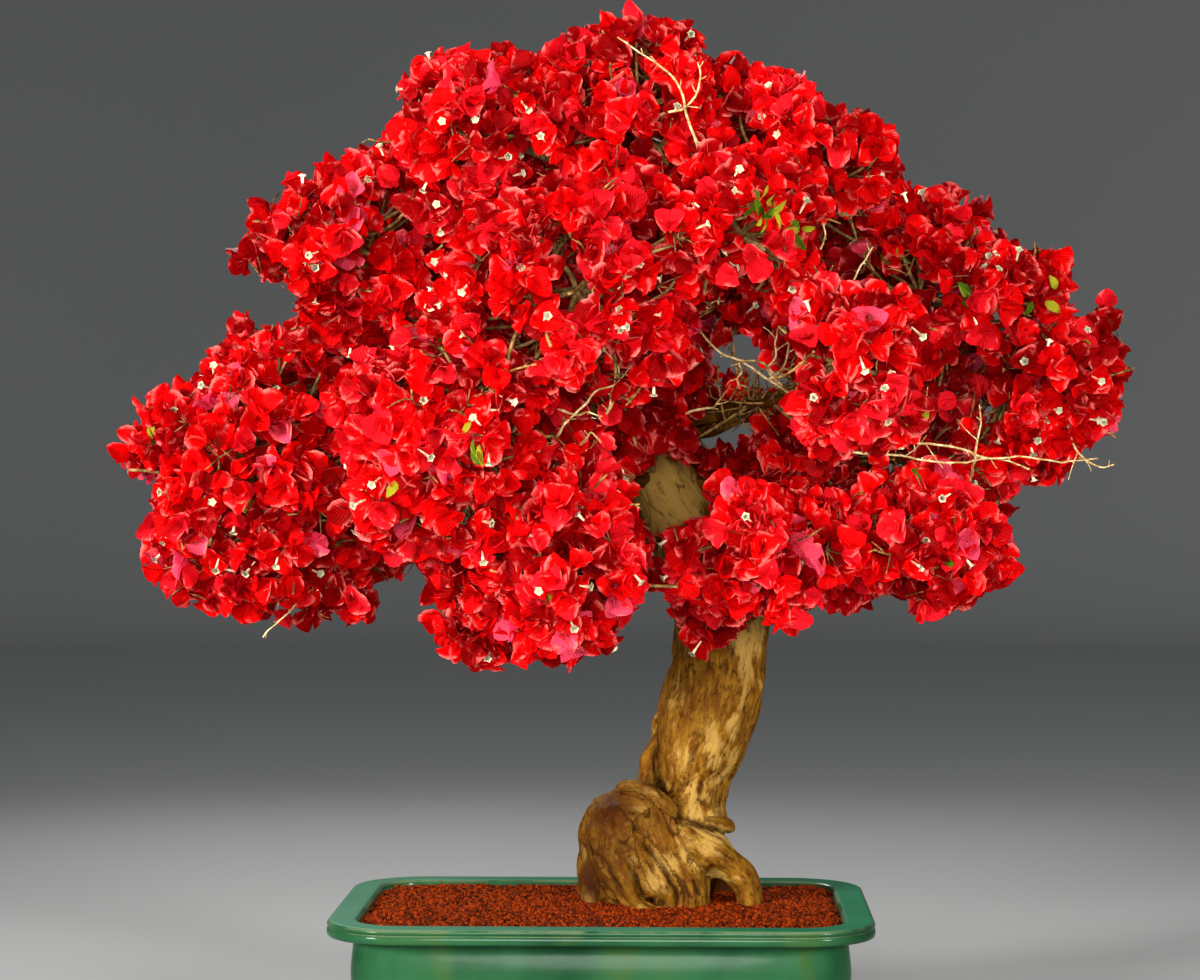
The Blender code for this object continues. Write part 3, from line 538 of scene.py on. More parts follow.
BULGES = {  # centre, radii
    "burl": ((0.009, 0.044, 0.180), (0.0325, 0.044, 0.042)),
    "burl_crown": ((0.018, 0.034, 0.201), (0.026, 0.032, 0.019)),
    "burl_front": ((0.0310, 0.009, 0.1770), (0.0210, 0.022, 0.0360)),
    "burl_low": ((0.0355, 0.002, 0.1560), (0.0185, 0.018, 0.0260)),
    "foot_fill": ((0.0540, 0.002, 0.1340), (0.0200, 0.018, 0.0200)),
    "shoulder_fill": ((0.0720, 0.0000, 0.1780), (0.0180, 0.0150, 0.0220)),
    "fork_fill": ((0.0800, 0.0000, 0.1640), (0.0150, 0.0140, 0.0180)),
    "web": ((0.0880, 0.0120, 0.1640), (0.0150, 0.0140, 0.0150)),
    "burl_foot": ((0.012, 0.026, 0.152), (0.026, 0.030, 0.034)),
    "knuckle": ((0.0480, -0.006, 0.1460), (0.0172, 0.0160, 0.0168)),
    "root_saddle": ((0.078, 0.022, 0.182), (0.030, 0.024, 0.017)),
    "scar": ((0.127, 0.030, 0.387), (0.017, 0.017, 0.015)),
    "scar_low": ((0.118, 0.018, 0.372), (0.010, 0.010, 0.012)),
    "eye_knot": ((0.1170, 0.0130, 0.3150), (0.0065, 0.0040, 0.0080)),
}
# The creases are cut into the wood, and are also painted darker as shade.
CREASES = {  # where two swellings meet: x and z along the crease, its depth, its half width
    "groove": (
        ((0.0255, 0.1990), (0.0272, 0.1952), (0.0329, 0.1876), (0.0400, 0.1773), (0.0477, 0.1684),
         (0.0554, 0.1594), (0.0605, 0.1492), (0.0643, 0.1402), (0.0650, 0.1290)), 0.0048, 0.0028,
    ),
    "finger": (
        ((0.0720, 0.1520), (0.0745, 0.1440), (0.0759, 0.1326), (0.0765, 0.1240)), 0.0030, 0.0020,
    ),
    "inner_finger": (
        ((0.0800, 0.1500), (0.0823, 0.1454), (0.0840, 0.1380), (0.0848, 0.1240)), 0.0030, 0.0020,
    ),
    "pit": (((0.0255, 0.1990), (0.0300, 0.1975)), 0.0060, 0.0048),
    "burl_edge": (
        ((-0.0260, 0.1770), (-0.0150, 0.1755), (-0.0020, 0.1685), (0.0070, 0.1560), (0.0130, 0.1420),
         (0.0210, 0.1290)), 0.0048, 0.0042,
    ),
    "claw_edge": (
        ((0.0290, 0.1560), (0.0310, 0.1430), (0.0370, 0.1345), (0.0520, 0.1305)), 0.0030, 0.0026,
    ),
    "skirt": (
        ((0.0640, 0.2085), (0.0700, 0.2025), (0.0800, 0.2000), (0.0930, 0.1955), (0.1060, 0.1885),
         (0.1150, 0.1820)), 0.0030, 0.0026,
    ),
    "fin": (
        ((0.0452, 0.2920), (0.0447, 0.2700), (0.0447, 0.2560), (0.0455, 0.2400), (0.0520, 0.2250)),
        0.0040, 0.0024,
    ),
}
CREASE_ROWS = 40
CREASE_REACH = 0.050  # the creases lie on the wood's front, up to this y
CREASE_FADE = 0.010
CREASE_DARKEST = 0.006  # a crease as deep as this is painted as dark as a crack, as shade
STAINS_AND_SHADE = (  # where the bark is reddish brown, and where shade is painted: middle, reach, strength
    ((0.006, 0.012, 0.208), 0.034, 1.00),
    ((0.000, 0.004, 0.170), 0.044, 0.80),
    ((0.036, 0.012, 0.232), 0.030, 0.60),
    ((0.042, 0.000, 0.200), 0.020, 0.60),
    # painted shade in the hollow left of the brow
    ((-0.010, 0.020, 0.148), 0.028, 1.10),
    ((0.078, 0.006, 0.315), 0.046, 0.38),
    ((0.100, 0.066, 0.142), 0.036, 1.50),
    # painted shade in the gaps above the claw and right of the knuckle
    ((0.043, -0.010, 0.134), 0.008, 1.20),
    ((0.059, -0.006, 0.132), 0.008, 1.20),
)
RUBBED_AND_LIT = (  # where it is rubbed pale, and where light is painted: middle, reach, strength
    ((0.088, -0.002, 0.184), 0.028, 1.00),
    ((0.085, 0.008, 0.217), 0.026, 0.85),
    ((0.064, -0.014, 0.170), 0.014, 1.20),
    # a painted glint
    ((0.108, 0.020, 0.258), 0.028, 0.80),
    # painted light on the trunk's top, where the crown's shadow falls
    ((0.092, 0.005, 0.374), 0.040, 0.90),
    ((0.134, 0.020, 0.372), 0.024, 0.90),
    # painted light in the fork, which the crown shades
    ((0.058, 0.000, 0.487), 0.050, 1.50),
    ((0.045, -0.022, 0.150), 0.014, 1.10),
)
ROOT_ROWS = 26
ROOT_SIDES = 20
ROOT_KNOTS = 0.05  # how much a root swells and narrows, as a share of its radius
TRUNK_ROWS = 90
TRUNK_SIDES = 40
TRUNK_KNOTS = 0.03
VOXEL = 0.0017  # the cell in which the limbs and bulges are melted into one skin
EASINGS = 6  # rounds of smoothing after that
GROUND = 0.1225  # the wood goes on a little way under the grit
BARK_GRAIN = (0.0055, 0.0055, 0.032)  # the size of the bark's ridges, across the grain and along it
CRACK_DEPTH = 0.0007
# HOLLOW_EASINGS and HOLLOW_DEPTH find the hollows between the roots, which are painted darker as shade.
HOLLOW_EASINGS = 14
HOLLOW_DEPTH = 0.0016
CHUNK = 4000  # points whose nearest limb is looked for at once


def unit(vectors):
    """Each vector at length 1."""
    vectors = np.asarray(vectors, float)
    return vectors / np.linalg.norm(vectors, axis=-1, keepdims=True)


def frames(paths):
    """At each row of paths (limbs, rows, 3): the way along, and two directions square to it."""
    along = unit(np.gradient(paths, axis=1))
    chord = unit(paths[:, -1] - paths[:, 0])
    side = unit(np.cross(chord, (0.3, 0.9, 0.1)))[:, None]
    side = unit(side - along * (side * along).sum(axis=-1, keepdims=True))
    return along, side, np.cross(along, side)


def tubes(paths, sides, knots=0.0):
    """Rings round each row of paths (limbs, rows, 4: x, y, z, radius). knots swells and pinches them
    by that share, in slow waves round the limb and along it.
    """
    _, side, other = frames(paths[..., :3])
    turn = np.arange(sides) * 2 * math.pi / sides
    row = np.arange(paths.shape[1])[:, None] * 7 / paths.shape[1]
    swell = 1 + knots * (np.sin(3 * turn + 1.9 * row) + 0.6 * np.sin(2 * turn - 1.3 * row))
    out = np.cos(turn)[:, None] * side[:, :, None] + np.sin(turn)[:, None] * other[:, :, None]
    return paths[:, :, None, :3] + (paths[..., 3][:, :, None] * swell)[..., None] * out


def tube_set(paths, sides, knots=0.0):
    """Closed tubes along paths (limbs, rows, 4), as one set of points and triangles."""
    paths = np.asarray(paths, float)
    rings = tubes(paths, sides, knots)
    return repeated(rings.reshape(len(paths), -1, 3), closed_triangles(paths.shape[1], sides))


def ball(centre, radii, rows=18, sides=24):
    """An ellipsoid from pole to pole: rings whose radius is the sine of the way down."""
    down = np.linspace(math.pi - 0.02, 0.02, rows)[:, None]
    turn = np.arange(sides) * 2 * math.pi / sides
    rings = np.dstack([np.sin(down) * np.cos(turn), np.sin(down) * np.sin(turn), np.cos(down) + 0 * turn])
    return (rings * radii + centre).reshape(-1, 3), closed_triangles(rows, sides)


def mesh_arrays(mesh):
    """A mesh's points and triangles as arrays."""
    points = np.zeros(3 * len(mesh.vertices), np.float32)
    mesh.vertices.foreach_get("co", points)
    mesh.calc_loop_triangles()
    triangles = np.zeros(3 * len(mesh.loop_triangles), np.int32)
    mesh.loop_triangles.foreach_get("vertices", triangles)
    return points.reshape(-1, 3).astype(float), triangles.reshape(-1, 3)


def eased(points, triangles, rounds):
    """Each point moved half of the way to the middle of its neighbours, several times over."""
    start, end = np.vstack([triangles[:, [0, 1]], triangles[:, [1, 2]], triangles[:, [2, 0]]]).T
    count = np.bincount(start, minlength=len(points)) + np.bincount(end, minlength=len(points))
    for _ in range(rounds):
        total = np.zeros_like(points)
        for axis in range(3):
            total[:, axis] = np.bincount(start, points[end, axis], len(points))
            total[:, axis] += np.bincount(end, points[start, axis], len(points))
        points = points + 0.5 * (total / count[:, None] - points)
    return points


def normals_of(points, triangles):
    """The mean normal at each point, each triangle weighted by its area."""
    a, b, c = (points[triangles[:, k]] for k in range(3))
    face = np.cross(b - a, c - a)
    total = np.zeros_like(points)
    for axis, corner in itertools.product(range(3), range(3)):
        total[:, axis] += np.bincount(triangles[:, corner], face[:, axis], len(points))
    return unit(total + 1e-12)


def grain_places(points, paths):
    """Where each point lies on its nearest limb: two offsets square to the limb, and how far along it,
    so that a pattern on these follows the wood. Limbs are kept apart by a step in the last.
    """
    along, side, other = frames(paths[..., :3])
    run = np.linalg.norm(np.diff(paths[..., :3], axis=1), axis=2)
    run = np.hstack([np.zeros((len(paths), 1)), np.cumsum(run, axis=1)]) + np.arange(len(paths))[:, None]
    rows = paths.reshape(-1, 4)
    nearest = np.zeros(len(points), int)
    for start in range(0, len(points), CHUNK):
        part = points[start : start + CHUNK]
        apart = np.linalg.norm(part[:, None] - rows[None, :, :3], axis=2) - rows[None, :, 3]
        nearest[start : start + CHUNK] = apart.argmin(axis=1)
    offset = points - rows[nearest, :3]
    parts = [(offset * axis.reshape(-1, 3)[nearest]).sum(axis=1) for axis in (side, other, along)]
    parts[2] += run.ravel()[nearest]
    return np.column_stack(parts)


def bark_relief(places, points, fine=1.0):
    """The bark's height in metres: broad swellings of the wood, long ridges along the grain, sharp
    cracks where a noise crosses zero, exp(-(n / 0.07) ^ 2) of their depth, and small pits. Also how
    cracked it is, from 0 to 1.
    """
    grain = places / BARK_GRAIN
    broad = 0.0018 * noise(points / 0.026, 21) + 0.0012 * noise(points / 0.011, 22)
    ridges = 0.0006 * noise(grain, 23) + 0.0005 * noise(2.1 * grain, 24)
    cracks = -CRACK_DEPTH * np.exp(-((noise(0.8 * grain + 7, 25) / 0.07) ** 2))
    pits = -0.0010 * np.clip(noise(points / 0.0052, 26) - 0.40, 0, 1)
    return broad * fine + (ridges + cracks + pits) * fine, cracks / -CRACK_DEPTH


def nearness(points, spots):
    """For each spot exp(-(d / reach) ^ 2) of its strength, and the greatest of these at each point."""
    shares = [
        strength * np.exp(-((np.linalg.norm(points - middle, axis=1) / reach) ** 2))
        for middle, reach, strength in spots
    ]
    return np.max(shares, axis=0)


def crease_depth(points, normals):
    """How deep the creases cut each point of the wood's front: exp(-(d / w) ^ 2) of a crease's depth,
    with d how far the point is from the crease as seen from the front, and w the crease's half width.
    """
    depth = np.zeros(len(points))
    for line, deepest, half_width in CREASES.values():
        course = through([(x, 0.0, z) for x, z in line], CREASE_ROWS)
        apart = np.linalg.norm(points[:, None, ::2] - course[None, :, ::2], axis=2).min(axis=1)
        depth = np.maximum(depth, deepest * np.exp(-((apart / half_width) ** 2)))
    facing = np.clip(-2 * normals[:, 1], 0, 1)
    return depth * facing * np.clip((CREASE_REACH - points[:, 1]) / CREASE_FADE, 0, 1)


def keep_bark(mesh, places, depth, stain_and_shade, rubbed_and_lit):
    """Keeps for the finish where each point lies along the wood; how cracked it is, with the painted shade in
    the creases; how stained, with painted shade; and how rubbed pale, with painted light.
    """
    layer = mesh.attributes.new("grain", "FLOAT_VECTOR", "POINT")
    layer.data.foreach_set("vector", places.astype(np.float32).ravel())
    for name, values in (("crack_and_shade", depth), ("stain_and_shade", stain_and_shade), ("rubbed_and_lit", rubbed_and_lit)):
        layer = mesh.attributes.new(name, "FLOAT", "POINT")
        layer.data.foreach_set("value", values.astype(np.float32))


def hollow_depth(points, triangles, normals):
    """How far each point lies below its surroundings, where they are smoothed: from -1 on a ridge to 1 in the
    crease between two roots. The bark is painted darker by it, as shade in the creases.
    """
    smooth = eased(points, triangles, HOLLOW_EASINGS)
    sunk = ((smooth - points) * normals).sum(axis=1)
    return np.clip(sunk / HOLLOW_DEPTH, -1, 1)


# BARK_RUST also colours the painted shade, BARK_BROWN the painted shade in the creases, and BARK_PALE the
# painted light.
BARK_TAN = (0.105, 0.036, 0.0020, 1)
BARK_GOLD = (0.175, 0.079, 0.0060, 1)
BARK_PALE = (0.310, 0.180, 0.0400, 1)
BARK_BROWN = (0.020, 0.0055, 0.0007, 1)
BARK_RUST = (0.030, 0.0068, 0.0006, 1)


def bark_finish(name, paleness):
    """Dry bark: streaks along the grain from the grain attribute, dark cracks, reddish stains and rubbed pale
    patches, with painted shade in the creases and on the left side, and painted light here and there.
    """
    finish = Finish(name, Roughness=0.62, Specular_IOR_Level=0.03)
    grain = finish.attribute("grain", "Vector")
    place = finish.place()
    streaks = finish.noise(grain.stretched((1, 1, 0.28)), 170.0, 4.0, 0.6)
    threads = finish.noise(grain.stretched((1, 1, 0.12)), 700.0, 3.0)
    mottles = finish.noise(grain.stretched((1, 1, 0.60)), 210.0, 4.0, 0.65)
    patches = finish.noise(grain.stretched((1, 1, 0.45)), 62.0, 4.0, 0.65)
    flakes = finish.noise(grain.stretched((1, 1, 0.60)), 95.0, 5.0, 0.7)
    blotches = finish.noise(place, 24.0, 3.0, 0.6)
    crack_and_shade, stain_and_shade, rubbed_and_lit = (finish.attribute(part) for part in ("crack_and_shade", "stain_and_shade", "rubbed_and_lit"))
    colour = finish.blend(streaks.step(0.40, 0.62), BARK_TAN, BARK_GOLD)
    colour = finish.blend(mottles.step(0.50, 0.62) * 0.55, colour, BARK_RUST)
    colour = finish.blend(blotches.step(0.50, 0.68) * 0.50, colour, BARK_RUST)
    # Pale rubbed patches, and the painted light on a glint, the trunk's top and the fork.
    colour = finish.blend((patches + rubbed_and_lit * 0.16).step(0.54, 0.68) * paleness, colour, BARK_PALE)
    # Reddish stains, with the painted shade on the left side and in the hollows.
    colour = finish.blend(stain_and_shade * (0.75 + mottles * 0.5), colour, BARK_RUST)
    colour = finish.blend(flakes.step(0.57, 0.70) * 0.70, colour, BARK_BROWN)
    # Cracks, with the painted shade in the creases and hollows.
    colour = finish.blend(crack_and_shade.step(0.15, 0.90) * 0.85, colour, BARK_BROWN)
    finish.surface(Base_Color=colour, Roughness=0.50 + streaks * 0.3)
    finish.bump(streaks * 0.5 + threads * 0.2 + mottles * 0.4 - flakes.step(0.52, 0.72) * 0.6, 0.0018, 1.0)
    return finish


root_paths = np.array([through(stations, ROOT_ROWS) for stations in ROOT_LIMBS.values()])
trunk_path = through(TRUNK_STATIONS, TRUNK_ROWS)
stock_path = through(ROOT_STOCK, ROOT_ROWS)
parts = [
    tube_set([trunk_path], TRUNK_SIDES, TRUNK_KNOTS),
    tube_set([stock_path], TRUNK_SIDES, TRUNK_KNOTS),
    tube_set(root_paths, ROOT_SIDES, ROOT_KNOTS),
    *(ball(*size) for size in BULGES.values()),
]
rough_wood = make_mesh("trunk", *joined(parts))
rough_wood = applied(rough_wood, "REMESH", mode="VOXEL", voxel_size=VOXEL, adaptivity=0.0)
wood, wood_faces = mesh_arrays(rough_wood)
wood = eased(wood, wood_faces, EASINGS)
wood_normals = normals_of(wood, wood_faces)
limbs = np.concatenate([[through(TRUNK_STATIONS, ROOT_ROWS), stock_path], root_paths])
wood_places = grain_places(wood, limbs)
relief, cracks = bark_relief(wood_places, wood)
hollow_shade = hollow_depth(wood, wood_faces, wood_normals)
cuts = crease_depth(wood, wood_normals)
wood = wood + (relief - cuts)[:, None] * wood_normals
wood[:, 2] = np.maximum(wood[:, 2], GROUND)
trunk_mesh = make_mesh("trunk_wood", wood, wood_faces)
# The bark's left side is painted darker as shade, taken together with the reddish-brown stains.
shaded_side = 0.45 * np.clip(-wood_normals[:, 0] - 0.2, 0, 1)
stain_and_shade = np.maximum(nearness(wood, STAINS_AND_SHADE), shaded_side)
# Cracks darken the bark by their own colour; the hollows and creases between the roots are painted darker as
# shade.
depth = np.clip(0.8 * cracks + hollow_shade + cuts / CREASE_DARKEST, 0, 1)
keep_bark(trunk_mesh, wood_places, depth, stain_and_shade, nearness(wood, RUBBED_AND_LIT))
add_piece("trunk_wood", trunk_mesh, bark_finish("trunk_bark", 0.75), ["trunk"])

# ---------------------------------------------------------------------------------- the boughs
# Nineteen boughs of the same wood, thinner barked. Each leaves the trunk or another bough, rises or
# runs out level, and bends up into the mass of shoots that it carries.
MASSES = {  # the heart of each mass, and its reach along X, Y and Z
    "left_low": ((-0.306, 0.000, 0.500), (0.142, 0.128, 0.125)),
    "left_shoulder": ((-0.224, 0.010, 0.704), (0.112, 0.115, 0.086)),
    "top_left": ((-0.105, 0.000, 0.802), (0.100, 0.108, 0.086)),
    "apex": ((0.032, 0.000, 0.824), (0.094, 0.108, 0.094)),
    "top_right": ((0.166, 0.010, 0.774), (0.100, 0.112, 0.090)),
    "right_shoulder": ((0.308, 0.000, 0.660), (0.102, 0.116, 0.092)),
    "right_tip": ((0.368, -0.020, 0.578), (0.086, 0.104, 0.080)),
    "right_low": ((0.272, -0.070, 0.451), (0.096, 0.098, 0.067)),
    "trunk_front": ((0.130, -0.120, 0.440), (0.080, 0.080, 0.072)),
    "front_centre": ((-0.017, -0.203, 0.657), (0.112, 0.112, 0.108)),
    "front_left": ((-0.121, -0.193, 0.532), (0.108, 0.110, 0.106)),
    "front_low": ((-0.031, -0.170, 0.437), (0.094, 0.098, 0.093)),
    "front_right": ((0.208, -0.190, 0.594), (0.072, 0.090, 0.082)),
    "front_upper": ((0.118, -0.165, 0.704), (0.084, 0.100, 0.080)),
    "back_left": ((-0.262, 0.184, 0.587), (0.120, 0.122, 0.114)),
    "back_top_left": ((-0.113, 0.180, 0.729), (0.114, 0.122, 0.110)),
    "back_top": ((0.076, 0.180, 0.764), (0.110, 0.122, 0.108)),
    "back_right": ((0.262, 0.184, 0.643), (0.120, 0.122, 0.112)),
    "back_low": ((-0.010, 0.192, 0.549), (0.112, 0.110, 0.102)),
}
BOUGH_HEIGHTS = {  # the height at which each bough leaves the trunk
    "right_low": 0.400,
    "trunk_front": 0.412,
    "front_low": 0.447,
    "left_low": 0.463,
    "back_low": 0.470,
    "right_tip": 0.491,
    "front_left": 0.503,
    "back_left": 0.516,
    "back_right": 0.528,
    "right_shoulder": 0.546,
    "front_centre": 0.552,
    "left_shoulder": 0.556,
}
LEADER_STATIONS = (
    (0.0278, 0.014, 0.5780, 0.0175), (0.0200, 0.004, 0.6300, 0.0150), (0.0230, -0.002, 0.6800, 0.0120),
    (0.0310, 0.001, 0.7300, 0.0095), (0.0320, 0.000, 0.7630, 0.0080),
)
SIDE_BOUGHS = {  # boughs that leave another bough: which one, and how far along it
    "top_left": ("apex", 0.26),
    "top_right": ("apex", 0.40),
    "back_top": ("apex", 0.52),
    "front_upper": ("apex", 0.14),
    "back_top_left": ("apex", 0.18),
    "front_right": ("right_shoulder", 0.34),
}
BOUGH_HABITS = {  # rise at the start, how far under its mass it enters, radii at both ends
    "left_low": (0.00, 2.0, 0.0140, 0.0080),
    "left_shoulder": (0.25, 1.0, 0.0110, 0.0060),
    "top_left": (0.60, 0.6, 0.0080, 0.0050),
    "top_right": (0.40, 0.6, 0.0080, 0.0050),
    "right_shoulder": (0.20, 1.0, 0.0100, 0.0060),
    "right_tip": (0.25, 3.0, 0.0090, 0.0045),
    "right_low": (0.25, 0.8, 0.0100, 0.0060),
    "trunk_front": (0.20, 0.3, 0.0070, 0.0045),
    "front_centre": (0.30, 0.5, 0.0095, 0.0055),
    "front_left": (0.10, 0.5, 0.0110, 0.0060),
    "front_low": (0.10, 0.2, 0.0085, 0.0050),
    "front_right": (0.10, 0.3, 0.0060, 0.0040),
    "front_upper": (0.30, 0.4, 0.0065, 0.0040),
    "back_left": (0.15, 0.8, 0.0115, 0.0060),
    "back_top_left": (0.30, 0.5, 0.0085, 0.0050),
    "back_top": (0.40, 0.4, 0.0075, 0.0050),
    "back_right": (0.30, 0.8, 0.0105, 0.0060),
    "back_low": (0.20, 0.7, 0.0100, 0.0055),
}
ENTRY_SHARE = 0.78  # where a bough ends inside the mass it carries
BOUGH_ROWS = 48
BOUGH_SIDES = 18
BOUGH_SWAY = 0.0030
BOUGH_KNOTS = 0.04
THINNING = 0.8  # the power of the way by which a bough thins


def reach_along(radii, directions):
    """How far an ellipsoid with these radii reaches in each direction."""
    return 1 / np.linalg.norm(unit(directions) / np.asarray(radii), axis=-1)


def bough_path(name, start):
    """A bough leaves level or rising, and bends to enter its mass from the trunk's side and below:
    a quadratic Bezier curve, its radius falling from thick to thin as a power of the way.
    """
    heart, radii = (np.array(value) for value in MASSES[name])
    rise, under, thick, thin = BOUGH_HABITS[name]
    outward = unit((*(heart - start)[:2], 0))
    inward = unit((*-outward[:2], -under))
    end = heart + ENTRY_SHARE * reach_along(radii, inward) * inward
    bend = start + np.linalg.norm((end - start)[:2]) * 0.5 * (outward + (0, 0, rise))
    t = np.linspace(0, 1, BOUGH_ROWS)[:, None]
    line = (1 - t) ** 2 * start + 2 * t * (1 - t) * bend + t**2 * end
    return np.hstack([line, thick + (thin - thick) * t**THINNING])


def at_share(rows, share):
    """The point a share of the way along rows of points."""
    place = share * (len(rows) - 1)
    return np.array([np.interp(place, range(len(rows)), rows[:, k]) for k in range(3)])


bough_paths = {"apex": through(LEADER_STATIONS, BOUGH_ROWS)}
for name, height in BOUGH_HEIGHTS.items():
    start = [np.interp(height, trunk_path[:, 2], trunk_path[:, k]) for k in range(3)]
    bough_paths[name] = bough_path(name, np.array(start))
for name, (carrier, share) in SIDE_BOUGHS.items():
    bough_paths[name] = bough_path(name, at_share(bough_paths[carrier], share))
paths = np.array(list(bough_paths.values()))
t = np.linspace(0, 1, BOUGH_ROWS)
waves = [noise(np.column_stack([6 * t, 0 * t + 3 * k, 0 * t + 9]), 31 + k) for k in range(3)]
sway = np.stack(waves, axis=1)
for k in range(len(paths)):
    turned = np.roll(sway, k % 3, axis=1) * (1 if k % 2 else -1)
    paths[k, :, :3] += BOUGH_SWAY * turned * np.sin(math.pi * t)[:, None]
    knuckles = np.sin(2 * math.pi * (5 + k % 3) * t + k)
    paths[k, :, 3] *= 0.85 + 0.05 * knuckles + 0.60 * np.exp(-((t * 8) ** 2))
limb_field = np.vstack([trunk_path, stock_path, *root_paths, *paths])
boughs, bough_faces = tube_set(paths, BOUGH_SIDES, BOUGH_KNOTS)
bough_places = grain_places(boughs, paths)
relief, cracks = bark_relief(bough_places, boughs, fine=0.5)
boughs = boughs + relief[:, None] * normals_of(boughs, bough_faces)
bough_mesh = make_mesh("bough_wood", boughs, bough_faces)
keep_bark(bough_mesh, bough_places, cracks, 0.5 + 0 * cracks, 0 * cracks)
bough_names = ["bough_" + name for name in bough_paths]
add_piece("bough_wood", bough_mesh, bark_finish("bough_bark", 0.5), bough_names)

# ---------------------------------------------------------------------------------- shoots and twigs
# Every mass grows from one stem at its bough's tip by a seeded rule: the stem bends to the mass's
# heart and forks, each fork sends out shoots, each shoot ends in a spray of thin flowering twigs.
# Side shoots leave the boughs between the masses too, and old twigs stand bare; those in front are
# straw-coloured, paler than the rest, partly their own colour and partly painted light.
SEED = 11
GOLDEN_ANGLE = math.pi * (3 - math.sqrt(5))
GAP = 0.0003  # between neighbouring masses
SOFTNESS = 2.2  # the higher, the deeper the valleys between masses
SKIN_STEPS = np.linspace(0.5, 1.35, 60)  # shares of a mass's reach where the skin is looked for
STEM_ROWS = 12
FORKS = 6
FORK_SHARE = 0.30  # how far out they end, as a share of the mass's reach
SPRAYS_AT_TEN_CM = 48  # sprays tried on a mass whose reach is 0.1 m
SPRAY_DEPTHS = (0.024, 0.054)  # how far a spray's middle lies under the crown's skin
SPRAY_SIZES = (0.70, 1.25)
SPRAY_SKINS = (0.98, 1.34)  # how full the crown has to be where a spray flowers: 1 is its skin
LEAST_ROOM = 0.52  # a spray needs this share of its reach before the next mass
WALL_GAP = 0.004  # from a spray's middle to the next mass
WALL_PLAY = 0.009  # how far a flower may reach into it
BACKWARD = -0.12  # the cosine past which no twig of a spray points back to the wood
TUFTS = 3
TUFT_SPREAD = 0.55  # of the longest twig
FLOWERS_IN_SPRAY = (22, 36)
TWIG_LENGTHS = (0.006, 0.020)
FLOWER_HEIGHT = 0.015  # from a twig's tip to the middle of its flower
LIMB_CLEARANCE = 0.010
CURVE_ROWS = 6
BARE_ROWS = 32
SIDE_SHOOT_RUN = (0.22, 0.99)  # from where to where along a bough there are side shoots
SIDE_SHOOT_STEP = 0.013  # between them
SIDE_SHOOT_LENGTHS = (0.025, 0.065)
SIDE_SHOOT_DEPTHS = (0.30, 5.0)  # how full the crown may be where one ends
SIDE_FLOWERS = 15
IN_FLOWER = 0.55  # this share of the side shoots flowers if no opening is in the way
LEFT_OUT = 0.25  # and this share isn't there at all if one is; the others stay bare
CLUSTER_FLOWERS = 30
FORK_RADII = (0.0030, 0.0022)  # where a twig of each kind starts, and at its tip
SHOOT_RADII = (0.0020, 0.0013)
SIDE_SHOOT_RADII = (0.0018, 0.0012)
TWIG_RADII = (0.0009, 0.0006)
BARE_SIDE_RADII = (0.0015, 0.0008)
BARE_SPRAY_RADII = (0.0013, 0.0007)
TANGLE_RADII = (0.0011, 0.0005)
STRAW_RADII = (0.0013, 0.0006)
SPUR_RADII = (0.0007, 0.0003)
STEM_SIDES, SHOOT_SIDES, TWIG_SIDES, OLD_TWIG_SIDES, SPUR_SIDES = 10, 5, 3, 6, 4
BARE_SHARE = 0.09  # of the sprays have a bare twig
BARE_LENGTHS = (0.030, 0.052)
BARK_TONES = {  # for each kind of twig the colour of its bark, and of the streaks in it
    "shoots": ((0.130, 0.064, 0.016, 1), (0.300, 0.190, 0.055, 1)),
    "twigs": ((0.070, 0.024, 0.007, 1), (0.200, 0.110, 0.028, 1)),
    "old_twigs": ((0.090, 0.038, 0.009, 1), (0.300, 0.165, 0.040, 1)),
    # Straw-coloured front twigs: a paler copy of the old twigs' bark, partly painted light.
    "straw_twigs": ((0.360, 0.210, 0.060, 1), (0.700, 0.530, 0.260, 1)),
}
LANE_FRONT, LANE_BACK = -0.360, 0.330  # Y, before and behind the crown
SKY_LANES = (  # where the sky shows through or beside a mass: x and z in front, x and z behind, radius
    (0.104, 0.546, 0.110, 0.552, 0.021), (0.090, 0.542, 0.091, 0.548, 0.016),
    (0.118, 0.546, 0.129, 0.553, 0.016), (0.115, 0.613, 0.126, 0.635, 0.014),
    (0.086, 0.531, 0.086, 0.533, 0.011), (0.160, 0.526, 0.173, 0.528, 0.011),
    (0.213, 0.518, 0.235, 0.519, 0.013), (0.236, 0.514, 0.262, 0.515, 0.012),
    (0.099, 0.580, 0.102, 0.592, 0.015), (0.138, 0.586, 0.148, 0.600, 0.014),
    (0.100, 0.634, 0.103, 0.656, 0.010), (0.333, 0.568, 0.367, 0.578, 0.011),
    (-0.370, 0.460, -0.505, 0.446, 0.040), (-0.344, 0.410, -0.472, 0.378, 0.022),
    (-0.358, 0.485, -0.490, 0.477, 0.034), (-0.318, 0.603, -0.439, 0.631, 0.037),
    (-0.244, 0.637, -0.342, 0.675, 0.033), (-0.256, 0.736, -0.357, 0.804, 0.030),
    (-0.221, 0.757, -0.312, 0.831, 0.024), (0.123, 0.860, 0.138, 0.967, 0.049),
    (0.208, 0.815, 0.249, 0.908, 0.046), (0.247, 0.741, 0.300, 0.811, 0.021),
    (0.342, 0.709, 0.424, 0.769, 0.042), (0.295, 0.727, 0.362, 0.792, 0.020),
    (0.352, 0.473, 0.436, 0.462, 0.030), (-0.237, 0.407, -0.333, 0.374, 0.012),
    (0.225, 0.399, 0.271, 0.365, 0.027), (0.128, 0.379, 0.145, 0.338, 0.027),
    (0.048, 0.402, 0.040, 0.368, 0.018), (0.297, 0.562, 0.365, 0.577, 0.010),
)
